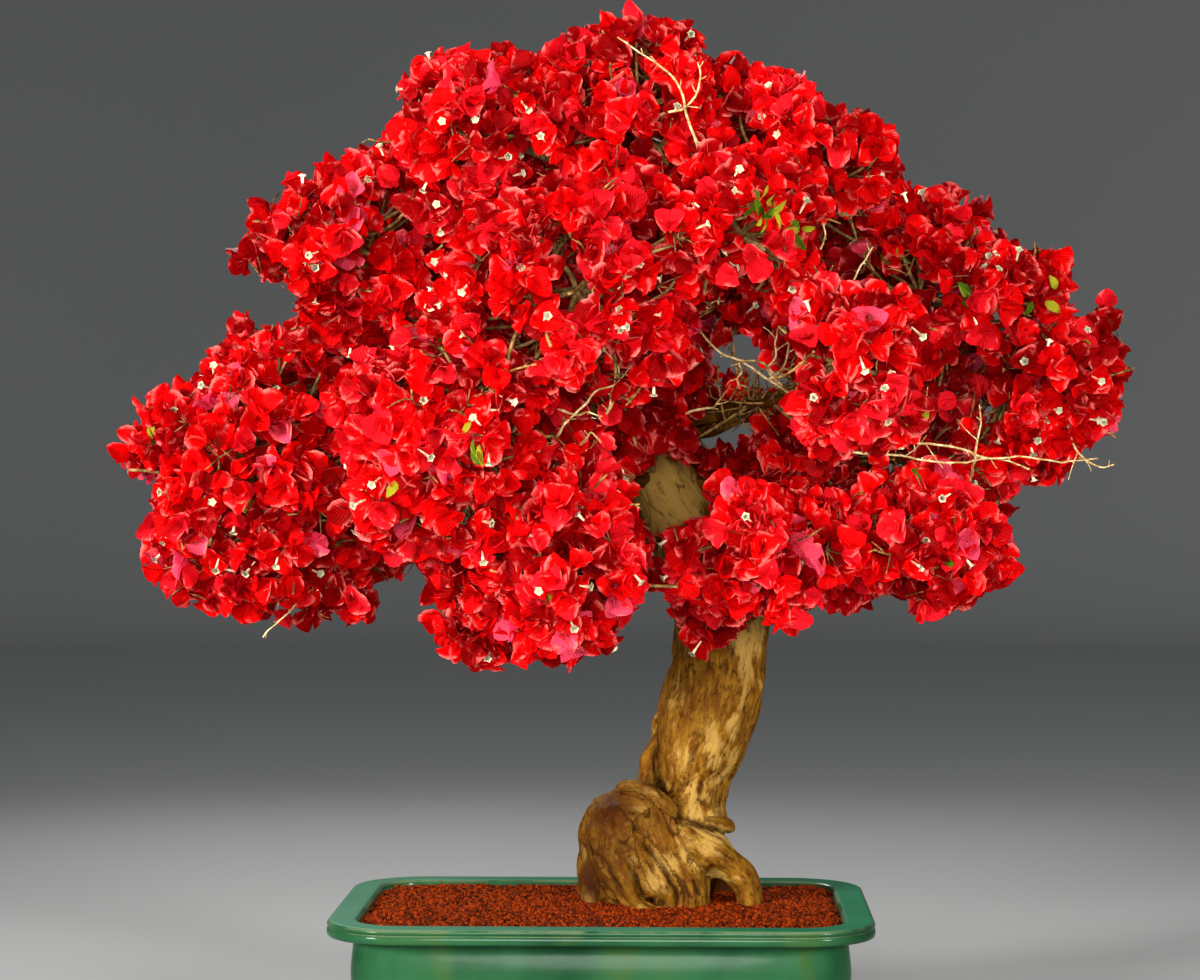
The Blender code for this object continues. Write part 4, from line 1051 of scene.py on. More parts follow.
HOLLOWS = (  # where bare wood shows: x and z in front, x, y and z of the wood, radius
    (0.060, 0.486, 0.058, -0.030, 0.489, 0.034), (0.130, 0.596, 0.130, -0.060, 0.598, 0.040),
    (0.110, 0.632, 0.110, -0.090, 0.632, 0.036), (0.130, 0.548, 0.130, -0.100, 0.550, 0.030),
    (0.092, 0.363, 0.095, 0.020, 0.338, 0.014), (0.304, 0.556, 0.339, -0.020, 0.563, 0.021),
    (-0.010, 0.552, -0.011, -0.185, 0.552, 0.030), (0.012, 0.590, 0.012, -0.190, 0.590, 0.018),
    (0.190, 0.687, 0.205, -0.060, 0.710, 0.026), (0.264, 0.541, 0.293, -0.020, 0.545, 0.020),
    (0.290, 0.583, 0.305, -0.070, 0.585, 0.026), (-0.090, 0.752, -0.095, -0.110, 0.762, 0.014),
)
CLUSTERS = (  # sprays on side shoots that hang in the hollows between masses, and their sizes
    ((0.046, -0.085, 0.545), 1.15), ((0.070, -0.080, 0.560), 1.10), ((0.052, -0.095, 0.578), 1.15),
    ((0.078, -0.060, 0.536), 0.80), ((0.030, -0.100, 0.530), 1.10), ((0.034, -0.100, 0.600), 1.10),
    ((0.072, -0.070, 0.596), 1.00), ((0.116, 0.060, 0.516), 1.10), ((0.143, 0.050, 0.516), 1.10),
    ((0.095, 0.035, 0.500), 0.90), ((0.128, 0.040, 0.495), 1.10), ((0.112, 0.060, 0.640), 0.80),
    ((0.161, 0.000, 0.546), 0.70), ((0.190, 0.010, 0.500), 1.00), ((0.230, 0.020, 0.492), 1.00),
    ((0.262, 0.030, 0.500), 1.00), ((0.275, -0.020, 0.553), 0.90), ((0.300, 0.030, 0.530), 1.00),
    ((0.090, -0.050, 0.388), 0.85), ((-0.108, -0.140, 0.408), 1.10), ((-0.094, -0.150, 0.388), 0.95),
    ((-0.128, -0.080, 0.428), 0.80), ((-0.103, -0.150, 0.371), 0.75), ((-0.319, 0.000, 0.490), 1.00),
    ((-0.262, 0.000, 0.405), 0.75), ((-0.231, 0.000, 0.410), 0.75), ((0.129, -0.030, 0.508), 0.90),
    ((0.161, -0.030, 0.506), 0.90), ((0.240, -0.020, 0.516), 0.80), ((0.441, 0.000, 0.617), 1.00),
    ((0.432, -0.020, 0.600), 1.00), ((0.295, 0.000, 0.740), 1.00), ((0.094, -0.050, 0.398), 0.80),
    ((0.112, -0.045, 0.402), 0.70), ((0.132, 0.070, 0.574), 0.80), ((0.108, 0.100, 0.584), 0.70),
)
TANGLES = (  # where old bare twigs crowd: middle, reach, how many, their longest
    ((0.128, 0.000, 0.590), 0.070, 48, 0.060),
    ((-0.012, -0.170, 0.555), 0.060, 22, 0.035),
    ((0.290, -0.060, 0.525), 0.080, 34, 0.040),
    ((-0.215, -0.010, 0.425), 0.060, 22, 0.040),
    ((0.205, -0.080, 0.700), 0.070, 16, 0.040),
)
BARE_TWIGS = (  # stations of old twigs, from the wood outwards
    ((0.140, -0.100, 0.600), (0.129, -0.120, 0.602), (0.115, -0.130, 0.604), (0.105, -0.134, 0.607),
     (0.095, -0.136, 0.615), (0.086, -0.138, 0.625), (0.083, -0.140, 0.637), (0.089, -0.140, 0.647),
     (0.100, -0.138, 0.653)),
    ((0.083, -0.139, 0.635), (0.078, -0.142, 0.623)),
    ((0.148, -0.104, 0.588), (0.155, -0.118, 0.601), (0.158, -0.128, 0.613), (0.156, -0.132, 0.627),
     (0.151, -0.130, 0.640)),
    ((0.142, -0.104, 0.596), (0.148, -0.118, 0.608), (0.148, -0.124, 0.619), (0.149, -0.128, 0.629)),
    ((0.120, -0.120, 0.601), (0.119, -0.128, 0.593), (0.115, -0.132, 0.587), (0.118, -0.134, 0.578)),
    ((0.093, -0.090, 0.564), (0.098, -0.104, 0.568), (0.104, -0.110, 0.575)),
    ((0.205, -0.130, 0.548), (0.236, -0.150, 0.543), (0.262, -0.146, 0.534), (0.296, -0.142, 0.530),
     (0.322, -0.136, 0.521), (0.352, -0.126, 0.522), (0.388, -0.112, 0.517), (0.420, -0.100, 0.521)),
    ((0.262, -0.144, 0.536), (0.266, -0.150, 0.548), (0.264, -0.152, 0.560)),
    ((0.314, -0.120, 0.520), (0.318, -0.124, 0.548), (0.317, -0.126, 0.566)),
    ((0.215, -0.120, 0.526), (0.248, -0.130, 0.524), (0.290, -0.130, 0.517), (0.330, -0.126, 0.520),
     (0.360, -0.118, 0.512)),
    ((-0.033, -0.185, 0.538), (-0.028, -0.198, 0.546), (-0.020, -0.202, 0.554), (-0.008, -0.206, 0.566),
     (0.001, -0.208, 0.575), (0.017, -0.206, 0.583), (0.016, -0.200, 0.597), (0.006, -0.196, 0.610)),
    ((-0.026, -0.186, 0.529), (-0.026, -0.198, 0.527), (-0.021, -0.204, 0.515), (-0.017, -0.206, 0.523),
     (-0.018, -0.202, 0.533)),
    ((-0.018, -0.190, 0.524), (-0.015, -0.198, 0.529), (-0.008, -0.206, 0.539), (-0.003, -0.208, 0.541),
     (0.004, -0.206, 0.533)),
    ((-0.018, -0.196, 0.556), (-0.007, -0.205, 0.558), (0.004, -0.206, 0.555)),
    ((0.008, -0.190, 0.558), (0.011, -0.200, 0.565), (0.013, -0.204, 0.577), (0.016, -0.206, 0.593)),
    ((-0.031, -0.180, 0.603), (-0.026, -0.200, 0.612), (-0.007, -0.206, 0.623)),
    ((-0.026, -0.198, 0.612), (-0.010, -0.205, 0.613), (0.004, -0.206, 0.617)),
    ((0.188, -0.120, 0.664), (0.182, -0.140, 0.680), (0.160, -0.148, 0.700), (0.138, -0.150, 0.722)),
    ((0.176, -0.138, 0.686), (0.188, -0.142, 0.704), (0.186, -0.146, 0.718)),
    ((0.210, -0.080, 0.650), (0.216, -0.100, 0.676), (0.230, -0.104, 0.700)),
    ((0.076, -0.110, 0.800), (0.064, -0.128, 0.836), (0.040, -0.128, 0.856), (0.014, -0.124, 0.874)),
    ((0.072, -0.116, 0.816), (0.084, -0.124, 0.836), (0.082, -0.126, 0.852)),
    ((-0.262, -0.030, 0.422), (-0.284, -0.022, 0.398), (-0.306, -0.014, 0.400), (-0.322, -0.012, 0.408)),
    ((-0.250, -0.020, 0.416), (-0.270, -0.030, 0.392), (-0.288, -0.034, 0.376), (-0.296, -0.036, 0.366)),
    ((-0.215, -0.010, 0.424), (-0.244, -0.030, 0.440), (-0.262, -0.044, 0.436)),
    ((0.400, -0.060, 0.560), (0.404, -0.070, 0.530), (0.424, -0.072, 0.514), (0.437, -0.070, 0.516)),
)
SPUR_RUN = (0.35, 0.99)  # from where to where along an old twig there are spurs
SPUR_STEP = 0.016  # between them
SPUR_LENGTHS = (0.003, 0.010)
SPURS_LONG = 0.22  # this share of the spurs is three times as long


def golden_directions(count, turn):
    """Directions spread evenly over a ball by the golden angle, turned about Z."""
    k = np.arange(count) + 0.5
    polar = np.arccos(1 - 2 * k / count)
    azimuth = k * GOLDEN_ANGLE + turn
    flat = np.sin(polar)
    return np.stack([flat * np.cos(azimuth), flat * np.sin(azimuth), np.cos(polar)], axis=1)


def cell_walls(name):
    """Planes that part a mass from its neighbours, halfway by their sizes, as normals and offsets."""
    heart, radii = (np.array(value) for value in MASSES[name])
    normals, offsets = [], []
    for other, (other_heart, other_radii) in MASSES.items():
        if other == name:
            continue
        apart = np.array(other_heart) - heart
        distance = np.linalg.norm(apart)
        size, other_size = np.mean(radii), np.mean(other_radii)
        along = (distance**2 + size**2 - other_size**2) / (2 * distance)
        normals.append(apart / distance)
        offsets.append(apart @ heart / distance + along - GAP)
    return np.array(normals), np.array(offsets)


def fullness(points):
    """How full the crown is: 1 on its skin and more inside. Each mass is a soft ball, exp(S - S d d)
    with d the share of its reach, and the balls are summed, which rounds out the valleys between them.
    """
    hearts = np.array([heart for heart, _ in MASSES.values()])
    reaches = np.array([radii for _, radii in MASSES.values()])
    shares = (points[..., None, :] - hearts) / reaches
    return np.exp(SOFTNESS * (1 - (shares**2).sum(axis=-1))).sum(axis=-1)


def skin_distance(heart, radii, ways):
    """How far the crown's skin is from a mass's heart each way: the first step out of the crown."""
    reach = reach_along(radii, ways)
    points = heart + (SKIN_STEPS[:, None] * reach)[..., None] * ways
    outside = fullness(points) < 1
    first = np.where(outside.any(axis=0), outside.argmax(axis=0), len(SKIN_STEPS) - 1)
    return SKIN_STEPS[first] * reach


def clear_of_limbs(points):
    """Which points keep their clearance to the trunk and every bough."""
    apart = np.linalg.norm(points[:, None] - limb_field[None, :, :3], axis=2)
    return (apart > limb_field[:, 3] + LIMB_CLEARANCE).all(axis=1)


openings = [((x, LANE_FRONT, z), (far_x, LANE_BACK, far_z), r) for x, z, far_x, far_z, r in SKY_LANES]
openings += [((x, LANE_FRONT, z), tuple(wood), r) for x, z, *wood, r in HOLLOWS]


def out_of_openings(points, margin=0.0):
    """Which points lie in none of the lanes that stay open, each widened by a margin."""
    clear = np.ones(len(points), bool)
    for start, end, radius in openings:
        start, way = np.array(start), np.subtract(end, start)
        share = np.clip((points - start) @ way / (way @ way), 0, 1)
        clear &= np.linalg.norm(points - start - share[:, None] * way, axis=1) > radius + margin
    return clear


def curves(starts, ends, bends, radii, rows=CURVE_ROWS):
    """Tapering paths from starts to ends, each a quadratic Bezier curve bent by its own offset."""
    thick, thin = radii
    t = np.linspace(0, 1, rows)[None, :, None]
    starts, ends, bends = (np.asarray(value, float)[:, None] for value in (starts, ends, bends))
    middle = (starts + ends) / 2 + bends
    line = (1 - t) ** 2 * starts + 2 * t * (1 - t) * middle + t**2 * ends
    radius = thick + (thin - thick) * np.broadcast_to(t, (*line.shape[:2], 1))
    return np.concatenate([line, radius], axis=2)


def grow_spray(rng, centre, direction, size, count, backward, skin, walls=None, shade_bias=0.0):
    """Grows a spray of flowering twigs: three tufts side by side, their twigs spread evenly but for the way
    back to the wood. A flower that would leave the crown's skin, its mass's walls or the object's box, touch
    a limb or close an opening is skipped. Each flower's row in flowers is its tip, its heading, its spray,
    and how far outwards it looks, less a shade bias that makes more of the spray's flowers take the deep red
    as painted shade.
    """
    tufts = centre + rng.normal(0, TUFT_SPREAD, (TUFTS, 3)) * size * TWIG_LENGTHS[1]
    ways = golden_directions(count, rng.uniform(0, 6))
    ways = unit(ways + rng.normal(0, 0.14, ways.shape))
    outward = ways @ direction
    ways, outward = ways[outward > backward], outward[outward > backward]
    roots = tufts[rng.integers(0, TUFTS, len(ways))]
    tips = roots + size * rng.uniform(*TWIG_LENGTHS, (len(ways), 1)) * ways
    headings = unit(0.75 * ways + 0.35 * direction + rng.normal(0, 0.30, ways.shape) - (0, 0, 0.10))
    eyes = tips + FLOWER_HEIGHT * headings
    held = fullness(eyes) > skin
    held &= (eyes > BOX_LOW).all(axis=1) & (eyes < BOX_HIGH).all(axis=1)
    held &= clear_of_limbs(eyes) & out_of_openings(eyes)
    if walls is not None:
        held &= (eyes @ walls[0].T <= walls[1] + WALL_PLAY).all(axis=1)
    roots, tips, headings, outward = roots[held], tips[held], headings[held], outward[held]
    if not len(tips):
        return False
    flowers.append(np.column_stack([tips, headings, np.full(len(tips), len(twigs)), outward - shade_bias]))
    twigs.append(curves(roots, tips, rng.normal(0, 0.003, tips.shape), TWIG_RADII, 2))
    return True


# The box that flowers' middles stay in: a bract reaches on beyond it.
BOX_LOW, BOX_HIGH = np.array(cad_box[0]) + 0.008, np.array(cad_box[1]) + (0.004, -0.006, -0.004)
stems, shoots, twigs, flowers, bare = [], [], [], [], []
for index, (name, (heart, radii)) in enumerate(MASSES.items()):
    heart, radii = np.array(heart), np.array(radii)
    rng = np.random.default_rng(SEED + index)
    normals, offsets = cell_walls(name)
    bough = bough_paths[name]
    heading = unit(bough[-1, :3] - bough[-2, :3])
    knee = bough[-1, :3] + 0.3 * np.linalg.norm(heart - bough[-1, :3]) * heading
    stem = [(*bough[-3, :3], bough[-1, 3]), (*knee, 0.85 * bough[-1, 3]), (*heart, 0.5 * bough[-1, 3])]
    stems.append(through(stem, STEM_ROWS))
    forks = heart + FORK_SHARE * radii * golden_directions(FORKS, rng.uniform(0, 6))
    bends = rng.normal(0, 0.006, forks.shape)
    shoots.append(curves(np.repeat(heart[None], FORKS, 0), forks, bends, FORK_RADII))

    # Sprays look outwards all round the heart, just under the crown's skin or the neighbours' walls.
    ways = golden_directions(round(SPRAYS_AT_TEN_CM * (radii.mean() / 0.1) ** 2), rng.uniform(0, 6))
    ways = unit(ways + rng.normal(0, 0.10, ways.shape))
    speeds = ways @ normals.T
    rooms = (offsets - normals @ heart) / np.where(speeds > 1e-6, speeds, np.inf)
    room = np.where(speeds > 1e-6, rooms, np.inf).min(axis=1)
    reach = skin_distance(heart, radii, ways)
    middle = np.minimum(reach - rng.uniform(*SPRAY_DEPTHS, len(ways)), room - WALL_GAP)
    wanted = room > LEAST_ROOM * reach
    centres = heart + middle[:, None] * ways
    sizes = rng.uniform(*SPRAY_SIZES, len(ways))
    for centre, way, size in zip(centres[wanted], ways[wanted], sizes[wanted]):
        fork = forks[np.argmin(np.linalg.norm(forks - centre, axis=1))]
        bend = rng.normal(0, 0.008, 3) - (0, 0, 0.006)
        if out_of_openings(centre[None], margin=-0.006)[0]:
            shoots.append(curves([fork], [centre], [bend], SHOOT_RADII))
        count = rng.integers(*FLOWERS_IN_SPRAY)
        skin = rng.uniform(*SPRAY_SKINS)
        if not grow_spray(rng, centre, way, size, count, BACKWARD, skin, (normals, offsets)):
            continue
        if rng.uniform() < BARE_SHARE:
            aim = unit(way + rng.normal(0, 0.45, 3))
            end = centre + rng.uniform(*BARE_LENGTHS) * aim
            bare.append(curves([centre], [end], [rng.normal(0, 0.006, 3)], BARE_SPRAY_RADII))

# Side shoots leave the boughs, and flower or stay bare. Far out or deep in a mass there are none.
rng = np.random.default_rng(SEED + 50)
bough_length = np.linalg.norm(np.diff(paths[..., :3], axis=1), axis=2).sum(axis=1)
for path, length in zip(paths, bough_length):
    for share in np.arange(*SIDE_SHOOT_RUN, SIDE_SHOOT_STEP / length):
        start = at_share(path, min(share + rng.normal(0, 0.004), SIDE_SHOOT_RUN[1]))
        way = unit(rng.normal(0, 1, 3) + (0, 0, 0.25))
        centre = start + rng.uniform(*SIDE_SHOOT_LENGTHS) * way
        bend = rng.normal(0, 0.006, 3)
        depth = fullness(centre[None])[0]
        fate = rng.uniform()
        if not SIDE_SHOOT_DEPTHS[0] <= depth <= SIDE_SHOOT_DEPTHS[1]:
            continue
        open_way = out_of_openings(np.linspace(start, centre, 5)[2:], margin=-0.004).all()
        if fate > IN_FLOWER or not open_way:
            if fate > LEFT_OUT:
                bare.append(curves([start], [centre], [bend], BARE_SIDE_RADII))
            continue
        shoots.append(curves([start], [centre], [bend], SIDE_SHOOT_RADII))
        # Flowers on side shoots and in clusters are more often painted the deep red, as shade in the hollows.
        grow_spray(rng, centre, way, 0.8, SIDE_FLOWERS, backward=-0.6, skin=0.55, shade_bias=0.7)
limb_rows = paths.reshape(-1, 4)[:, :3]
for place, size in CLUSTERS:
    centre = np.array(place)
    start = limb_rows[np.argmin(np.linalg.norm(limb_rows - centre, axis=1))]
    way = unit(centre - start + (0, -0.02, 0))
    shoots.append(curves([start], [centre], [rng.normal(0, 0.006, 3)], SIDE_SHOOT_RADII))
    grow_spray(rng, centre, way, size, CLUSTER_FLOWERS, backward=-0.9, skin=0.0, shade_bias=0.55)
flowers = np.vstack(flowers)

# Old bare twigs grow from the nearest wood: crowded ones at random, single ones through stations.
wood_rows = np.vstack([limb_rows, *(shoot.reshape(-1, 4)[:, :3] for shoot in shoots)])
for place, reach, count, longest in TANGLES:
    near = wood_rows[np.linalg.norm(wood_rows - place, axis=1) < reach]
    starts = near[rng.integers(0, len(near), count)]
    ways = unit(rng.normal(0, 1, (count, 3)) + 0.5 * unit(np.array(place) - starts + 1e-9))
    ends = starts + rng.uniform(0.35, 1.0, (count, 1)) * longest * ways
    bare.append(curves(starts, ends, rng.normal(0, 0.006, ends.shape), TANGLE_RADII, 8))
straw = []
for stations in BARE_TWIGS:
    first = np.array(stations[0])
    foot = wood_rows[np.argmin(np.linalg.norm(wood_rows - first, axis=1))]
    line = through([foot, *stations], BARE_ROWS)
    line += 0.0014 * np.stack([noise(line / 0.011, 61 + k) for k in range(3)], axis=1)
    straw.append(np.column_stack([line, np.linspace(*STRAW_RADII, BARE_ROWS)]))
bare = [path for group in bare for path in group]


def spurs_on(old_twigs):
    """Short spurs that leave old twigs at an angle, every few millimetres, some much longer."""
    spurs = []
    for path in old_twigs:
        length = np.linalg.norm(np.diff(path[:, :3], axis=0), axis=1).sum()
        for share in np.arange(*SPUR_RUN, SPUR_STEP / length):
            start = at_share(path, share)
            along = unit(at_share(path, min(1.0, share + 0.02)) - at_share(path, share - 0.02))
            aside = unit(np.cross(along, rng.normal(0, 1, 3)))
            far = rng.uniform(*SPUR_LENGTHS) * (3 if rng.uniform() < SPURS_LONG else 1)
            end = start + far * unit(0.7 * along + aside)
            spurs.append(curves([start], [end], [rng.normal(0, 0.08 * far, 3)], SPUR_RADII, 4))
    return np.vstack(spurs)


def twig_finish(name, colour, streak):
    """Thin bark, smooth and fibrous: two tones in fine streaks."""
    finish = Finish(name, Roughness=0.55, Specular_IOR_Level=0.20)
    place = finish.place()
    streaks = finish.noise(place, 180.0, 4.0, 0.6)
    rings = finish.noise(place.stretched((1, 1, 3)), 500.0, 2.0)
    finish.surface(Base_Color=finish.blend(streaks.step(0.40, 0.62), colour, streak))
    finish.bump(streaks + rings * 0.5, 0.0006, 0.6)
    return finish


masses = list(MASSES)
bare_spurs, straw_spurs = spurs_on(bare), spurs_on(straw)
tubes_of = {
    "shoots": [tube_set(stems, STEM_SIDES, ROOT_KNOTS), tube_set(np.vstack(shoots), SHOOT_SIDES)],
    "twigs": [tube_set(np.vstack(twigs), TWIG_SIDES)],
    "old_twigs": [*(tube_set([path], OLD_TWIG_SIDES) for path in bare), tube_set(bare_spurs, SPUR_SIDES)],
    "straw_twigs": [tube_set(straw, OLD_TWIG_SIDES), tube_set(straw_spurs, SPUR_SIDES)],
}
for name, parts in tubes_of.items():
    bark = twig_finish(name[:-1] + "_bark", *BARK_TONES[name])
    add_piece(name, make_mesh(name, *joined(parts)), bark, masses)

# ---------------------------------------------------------------------------------- the bracts
# What looks like petals: three papery red leaves round each twig's tip, heart shaped, cupped and creased
# along the middle, thin enough for light to come through. Sprays differ a little in red, and flowers that
# stand deeper in or look inwards are painted a darker red as shade. Paler patches along the bracts' edges are
# painted highlights.
BRACT_ROWS = (0.0, 0.10, 0.34, 0.63, 0.87, 1.0)
BRACT_COLUMNS = (-1.0, 0.0, 1.0)
BRACT_LENGTHS = (0.0170, 0.0235)
BRACT_HALF_WIDTH = 0.50  # of the length
BRACT_KINDS = 12  # shapes, dealt out at random
BRACTS_IN_FLOWER = 3
SPRAY_TONED = 0.30  # of the flowers have their spray's red, and the rest their own
INNER_SHADE_DRAWS = (-0.62, 0.60)  # a flower that looks outwards less than a number drawn between these is painted the deep red as shade
BRACT_COLOURS = {  # base colour, what shines through, share of the flowers
    "bracts_scarlet": ((0.880, 0.0012, 0.0018, 1), (0.95, 0.001, 0.003, 1), 0.37),
    "bracts_crimson": ((0.700, 0.0008, 0.0018, 1), (0.85, 0.001, 0.003, 1), 0.30),
    # The deep red is dealt at random, and also to flowers that look inwards, as painted shade.
    "bracts_deep": ((0.330, 0.0005, 0.0014, 1), (0.55, 0.001, 0.002, 1), 0.09),
    "bracts_rose": ((0.880, 0.0090, 0.0180, 1), (0.95, 0.005, 0.015, 1), 0.20),
    "bracts_pink": ((0.880, 0.0650, 0.1250, 1), (0.95, 0.040, 0.130, 1), 0.04),
}
# A painted highlight on patches along the bracts' edges.
BRACT_EDGE_HIGHLIGHT = (0.960, 0.1700, 0.1450, 1)
TRANSLUCENCE = 0.37  # how much of the light comes through


def blade(u, v, lean, curl, width, rise):
    """A leaf of length 1 as (forward, outward, across). Along u it leans out from the twig by an angle
    that grows evenly, so its middle line is an arc; rise lifts it off that arc, and both ends are points.
    """
    angle = lean + curl * u
    forward = (np.sin(angle) - math.sin(lean)) / curl + rise * np.sin(angle)
    outward = (math.cos(lean) - np.cos(angle)) / curl - rise * np.cos(angle)
    grid = np.dstack([forward, outward, width * v])
    return np.vstack([grid[:1, 2], grid[1:-1].reshape(-1, 3), grid[-1:, 2]])


def bract_shape(rng):
    """A bract: its half width is sin(pi u^0.76)^0.66 of the widest, so it is widest below the middle.
    Its edges rise by the square of v to cup it, and ripple; its middle line is a crease.
    """
    u, v = np.array(BRACT_ROWS)[:, None], np.array(BRACT_COLUMNS)[None]
    lean, curl = rng.uniform(0.15, 0.60), rng.uniform(0.50, 1.20)
    cup, ripple, phase = rng.uniform(0.06, 0.26), rng.uniform(0.02, 0.07), rng.uniform(0, 6)
    width = BRACT_HALF_WIDTH * np.sin(math.pi * np.clip(u, 1e-9, 1) ** 0.76) ** 0.66
    rise = cup * v**2 * width * 2 + ripple * np.sin(6 * u + phase + 2 * v) * np.abs(v)
    rise += 0.05 * np.abs(v) * np.sin(math.pi * u)
    return blade(u, v, lean, curl, width * (1 - 0.12 * cup), rise)


def bract_topology():
    """The triangles of a leaf whose grid is drawn to one point at both ends, and their UV places."""
    rows, columns = len(BRACT_ROWS) - 2, len(BRACT_COLUMNS)
    inner = 1 + np.arange(rows * columns).reshape(rows, columns)
    last = inner[-1, -1] + 1
    start = np.stack([0 * inner[0, 1:], inner[0, :-1], inner[0, 1:]], axis=1)
    middle = inner[0, 0] + grid_triangles(rows, columns, wrap=False)[:, ::-1]
    end = np.stack([0 * inner[0, 1:] + last, inner[-1, 1:], inner[-1, :-1]], axis=1)
    across = [0.5 + 0.5 * v for v in BRACT_COLUMNS]
    uv = [(0.5, 0.0), *((x, u) for u in BRACT_ROWS[1:-1] for x in across), (0.5, 1.0)]
    return np.vstack([start, middle, end]), np.array(uv)


def leaf_finish(name, colour, glow, margin, sinks=0.62, roughness=0.50):
    """Papery and thin: crumpled, with fine veins that fan out from the middle line, a paler rib, here and
    there a painted highlight along the edge, and light that comes through.
    """
    finish = Finish(name, Roughness=roughness, Specular_IOR_Level=0.04)
    uv = finish.node("UVMap", {}, {})
    x = finish.node("SeparateXYZ", {}, {0: uv}, "X")
    y = finish.node("SeparateXYZ", {}, {0: uv}, "Y")
    offset = finish.node("Math", {"operation": "ABSOLUTE"}, {0: x - 0.5})
    veins = finish.node("Math", {"operation": "SINE"}, {0: (y - offset * 0.9) * 46.0})
    rib = 1 - offset.step(0.0, 0.05)
    place = finish.place()
    drift = finish.noise(place, 55.0, 2.0)
    crumple = finish.noise(place, 230.0, 3.0, 0.6)
    # Patches along the edge, painted paler as highlights.
    edge_highlight = (offset + y * 0.12).step(0.32, 0.54) * drift.step(0.49, 0.60)
    deeper = tuple(sinks * part for part in colour[:3]) + (1,)
    paler = tuple(min(1.0, 1.15 * part) for part in colour[:3]) + (1,)
    shade = finish.blend(drift.step(0.35, 0.65), deeper, colour)
    shade = finish.blend(rib * 0.6 + veins.step(0.2, 1.0) * 0.3, shade, paler)
    # The margin colour is a painted highlight along the edges.
    finish.surface(Base_Color=finish.blend(edge_highlight * 0.85, shade, margin))
    finish.bump(veins * 0.25 + rib * 0.5 + crumple * 1.4, 0.0012, 0.8)
    leaf = finish.node("BsdfTranslucent", {}, {"Color": glow})
    skin = Term(finish, finish.shader.outputs[0])
    mixed = finish.node("MixShader", {}, {0: TRANSLUCENCE, 1: skin, 2: leaf})
    output = finish.tree.nodes["Material Output"]
    finish.feed(output, {"Surface": mixed})
    return finish


def add_leaves(name, leaves, finish):
    """Adds leaves (leaves, points, 3) as one piece, each with the same UV places."""
    mesh = make_mesh(name, *repeated(leaves, bract_faces))
    places = np.tile(bract_uv[bract_faces.ravel()], (len(leaves), 1))
    mesh.uv_layers.new(name="leaf").data.foreach_set("uv", places.astype(np.float32).ravel())
    add_piece(name, mesh, finish, masses)


def flower_frames(heads, spins):
    """Two directions square to each flower's heading, turned about it by its spin."""
    side = unit(np.cross(heads, (0.31, 0.22, 0.93)))
    other = np.cross(heads, side)
    cos, sin = np.cos(spins)[:, None], np.sin(spins)[:, None]
    return cos * side + sin * other, cos * other - sin * side


def set_round(bases, heads, spin, tilt, shapes, lengths):
    """Shapes of length 1 set at their bases: each leans out from its heading, the way its spin says."""
    out, across = flower_frames(heads, spin)
    ahead = np.cos(tilt)[:, None] * heads + np.sin(tilt)[:, None] * out
    aside = np.cos(tilt)[:, None] * out - np.sin(tilt)[:, None] * heads
    axes = np.stack([ahead, aside, across], axis=1)
    return bases[:, None] + lengths[:, None, None] * np.einsum("nvi,nij->nvj", shapes, axes)


rng = np.random.default_rng(SEED + 100)
kinds = np.array([bract_shape(rng) for _ in range(BRACT_KINDS)])
bract_faces, bract_uv = bract_topology()
bases, heads, outward = flowers[:, :3], flowers[:, 3:6], flowers[:, 7]
count = len(flowers)
spins = rng.uniform(0, 2 * math.pi, count)
colour_names = list(BRACT_COLOURS)
shares = np.array([BRACT_COLOURS[name][2] for name in colour_names])
spray_tone = rng.choice(len(shares), len(twigs), p=shares)
own_tone = rng.choice(len(shares), count, p=shares)
tones = np.where(rng.uniform(0, 1, count) < SPRAY_TONED, spray_tone[flowers[:, 6].astype(int)], own_tone)
shaded_inward = rng.uniform(*INNER_SHADE_DRAWS, count) > outward
tones = np.where(shaded_inward, colour_names.index("bracts_deep"), tones)
bracts = []
for k in range(BRACTS_IN_FLOWER):
    spin = spins + k * 2 * math.pi / BRACTS_IN_FLOWER + rng.normal(0, 0.15, count)
    shapes = kinds[rng.integers(0, BRACT_KINDS, count)]
    tilt = rng.normal(0, 0.22, count)
    bracts.append(set_round(bases, heads, spin, tilt, shapes, rng.uniform(*BRACT_LENGTHS, count)))
for k, (name, (colour, glow, _)) in enumerate(BRACT_COLOURS.items()):
    chosen = np.concatenate([group[tones == k] for group in bracts])
    add_leaves(name, chosen, leaf_finish(name, colour, glow, BRACT_EDGE_HIGHLIGHT))

# ---------------------------------------------------------------------------------- green leaves
# A few small leaves are left among the blossom, yellow-green, oval and pointed, in twos and threes
# under a spray.
LEAVES = 300
LEAVES_TOGETHER = 3
LEAF_KINDS = 6
LEAF_HALF_WIDTH = 0.27  # of the length
LEAF_TUFTS = (  # x and z of tufts of leaves that stand out in front, and how many leaves
    (0.142, 0.717, 7), (0.128, 0.727, 6), (0.156, 0.706, 5), (0.265, 0.559, 4), (-0.109, 0.540, 4),
    (-0.161, 0.498, 4), (0.329, 0.593, 4), (0.260, 0.684, 3), (0.389, 0.652, 3),
)
LEAF_LENGTHS = (0.012, 0.020)
LEAF_COLOURS = {  # every other leaf has the one colour, and the rest the other
    "leaves_green": (0.085, 0.160, 0.007, 1),
    "leaves_yellow": (0.400, 0.400, 0.020, 1),
}
# A painted highlight on patches along the leaves' edges.
LEAF_EDGE_HIGHLIGHT = (0.350, 0.360, 0.030, 1)


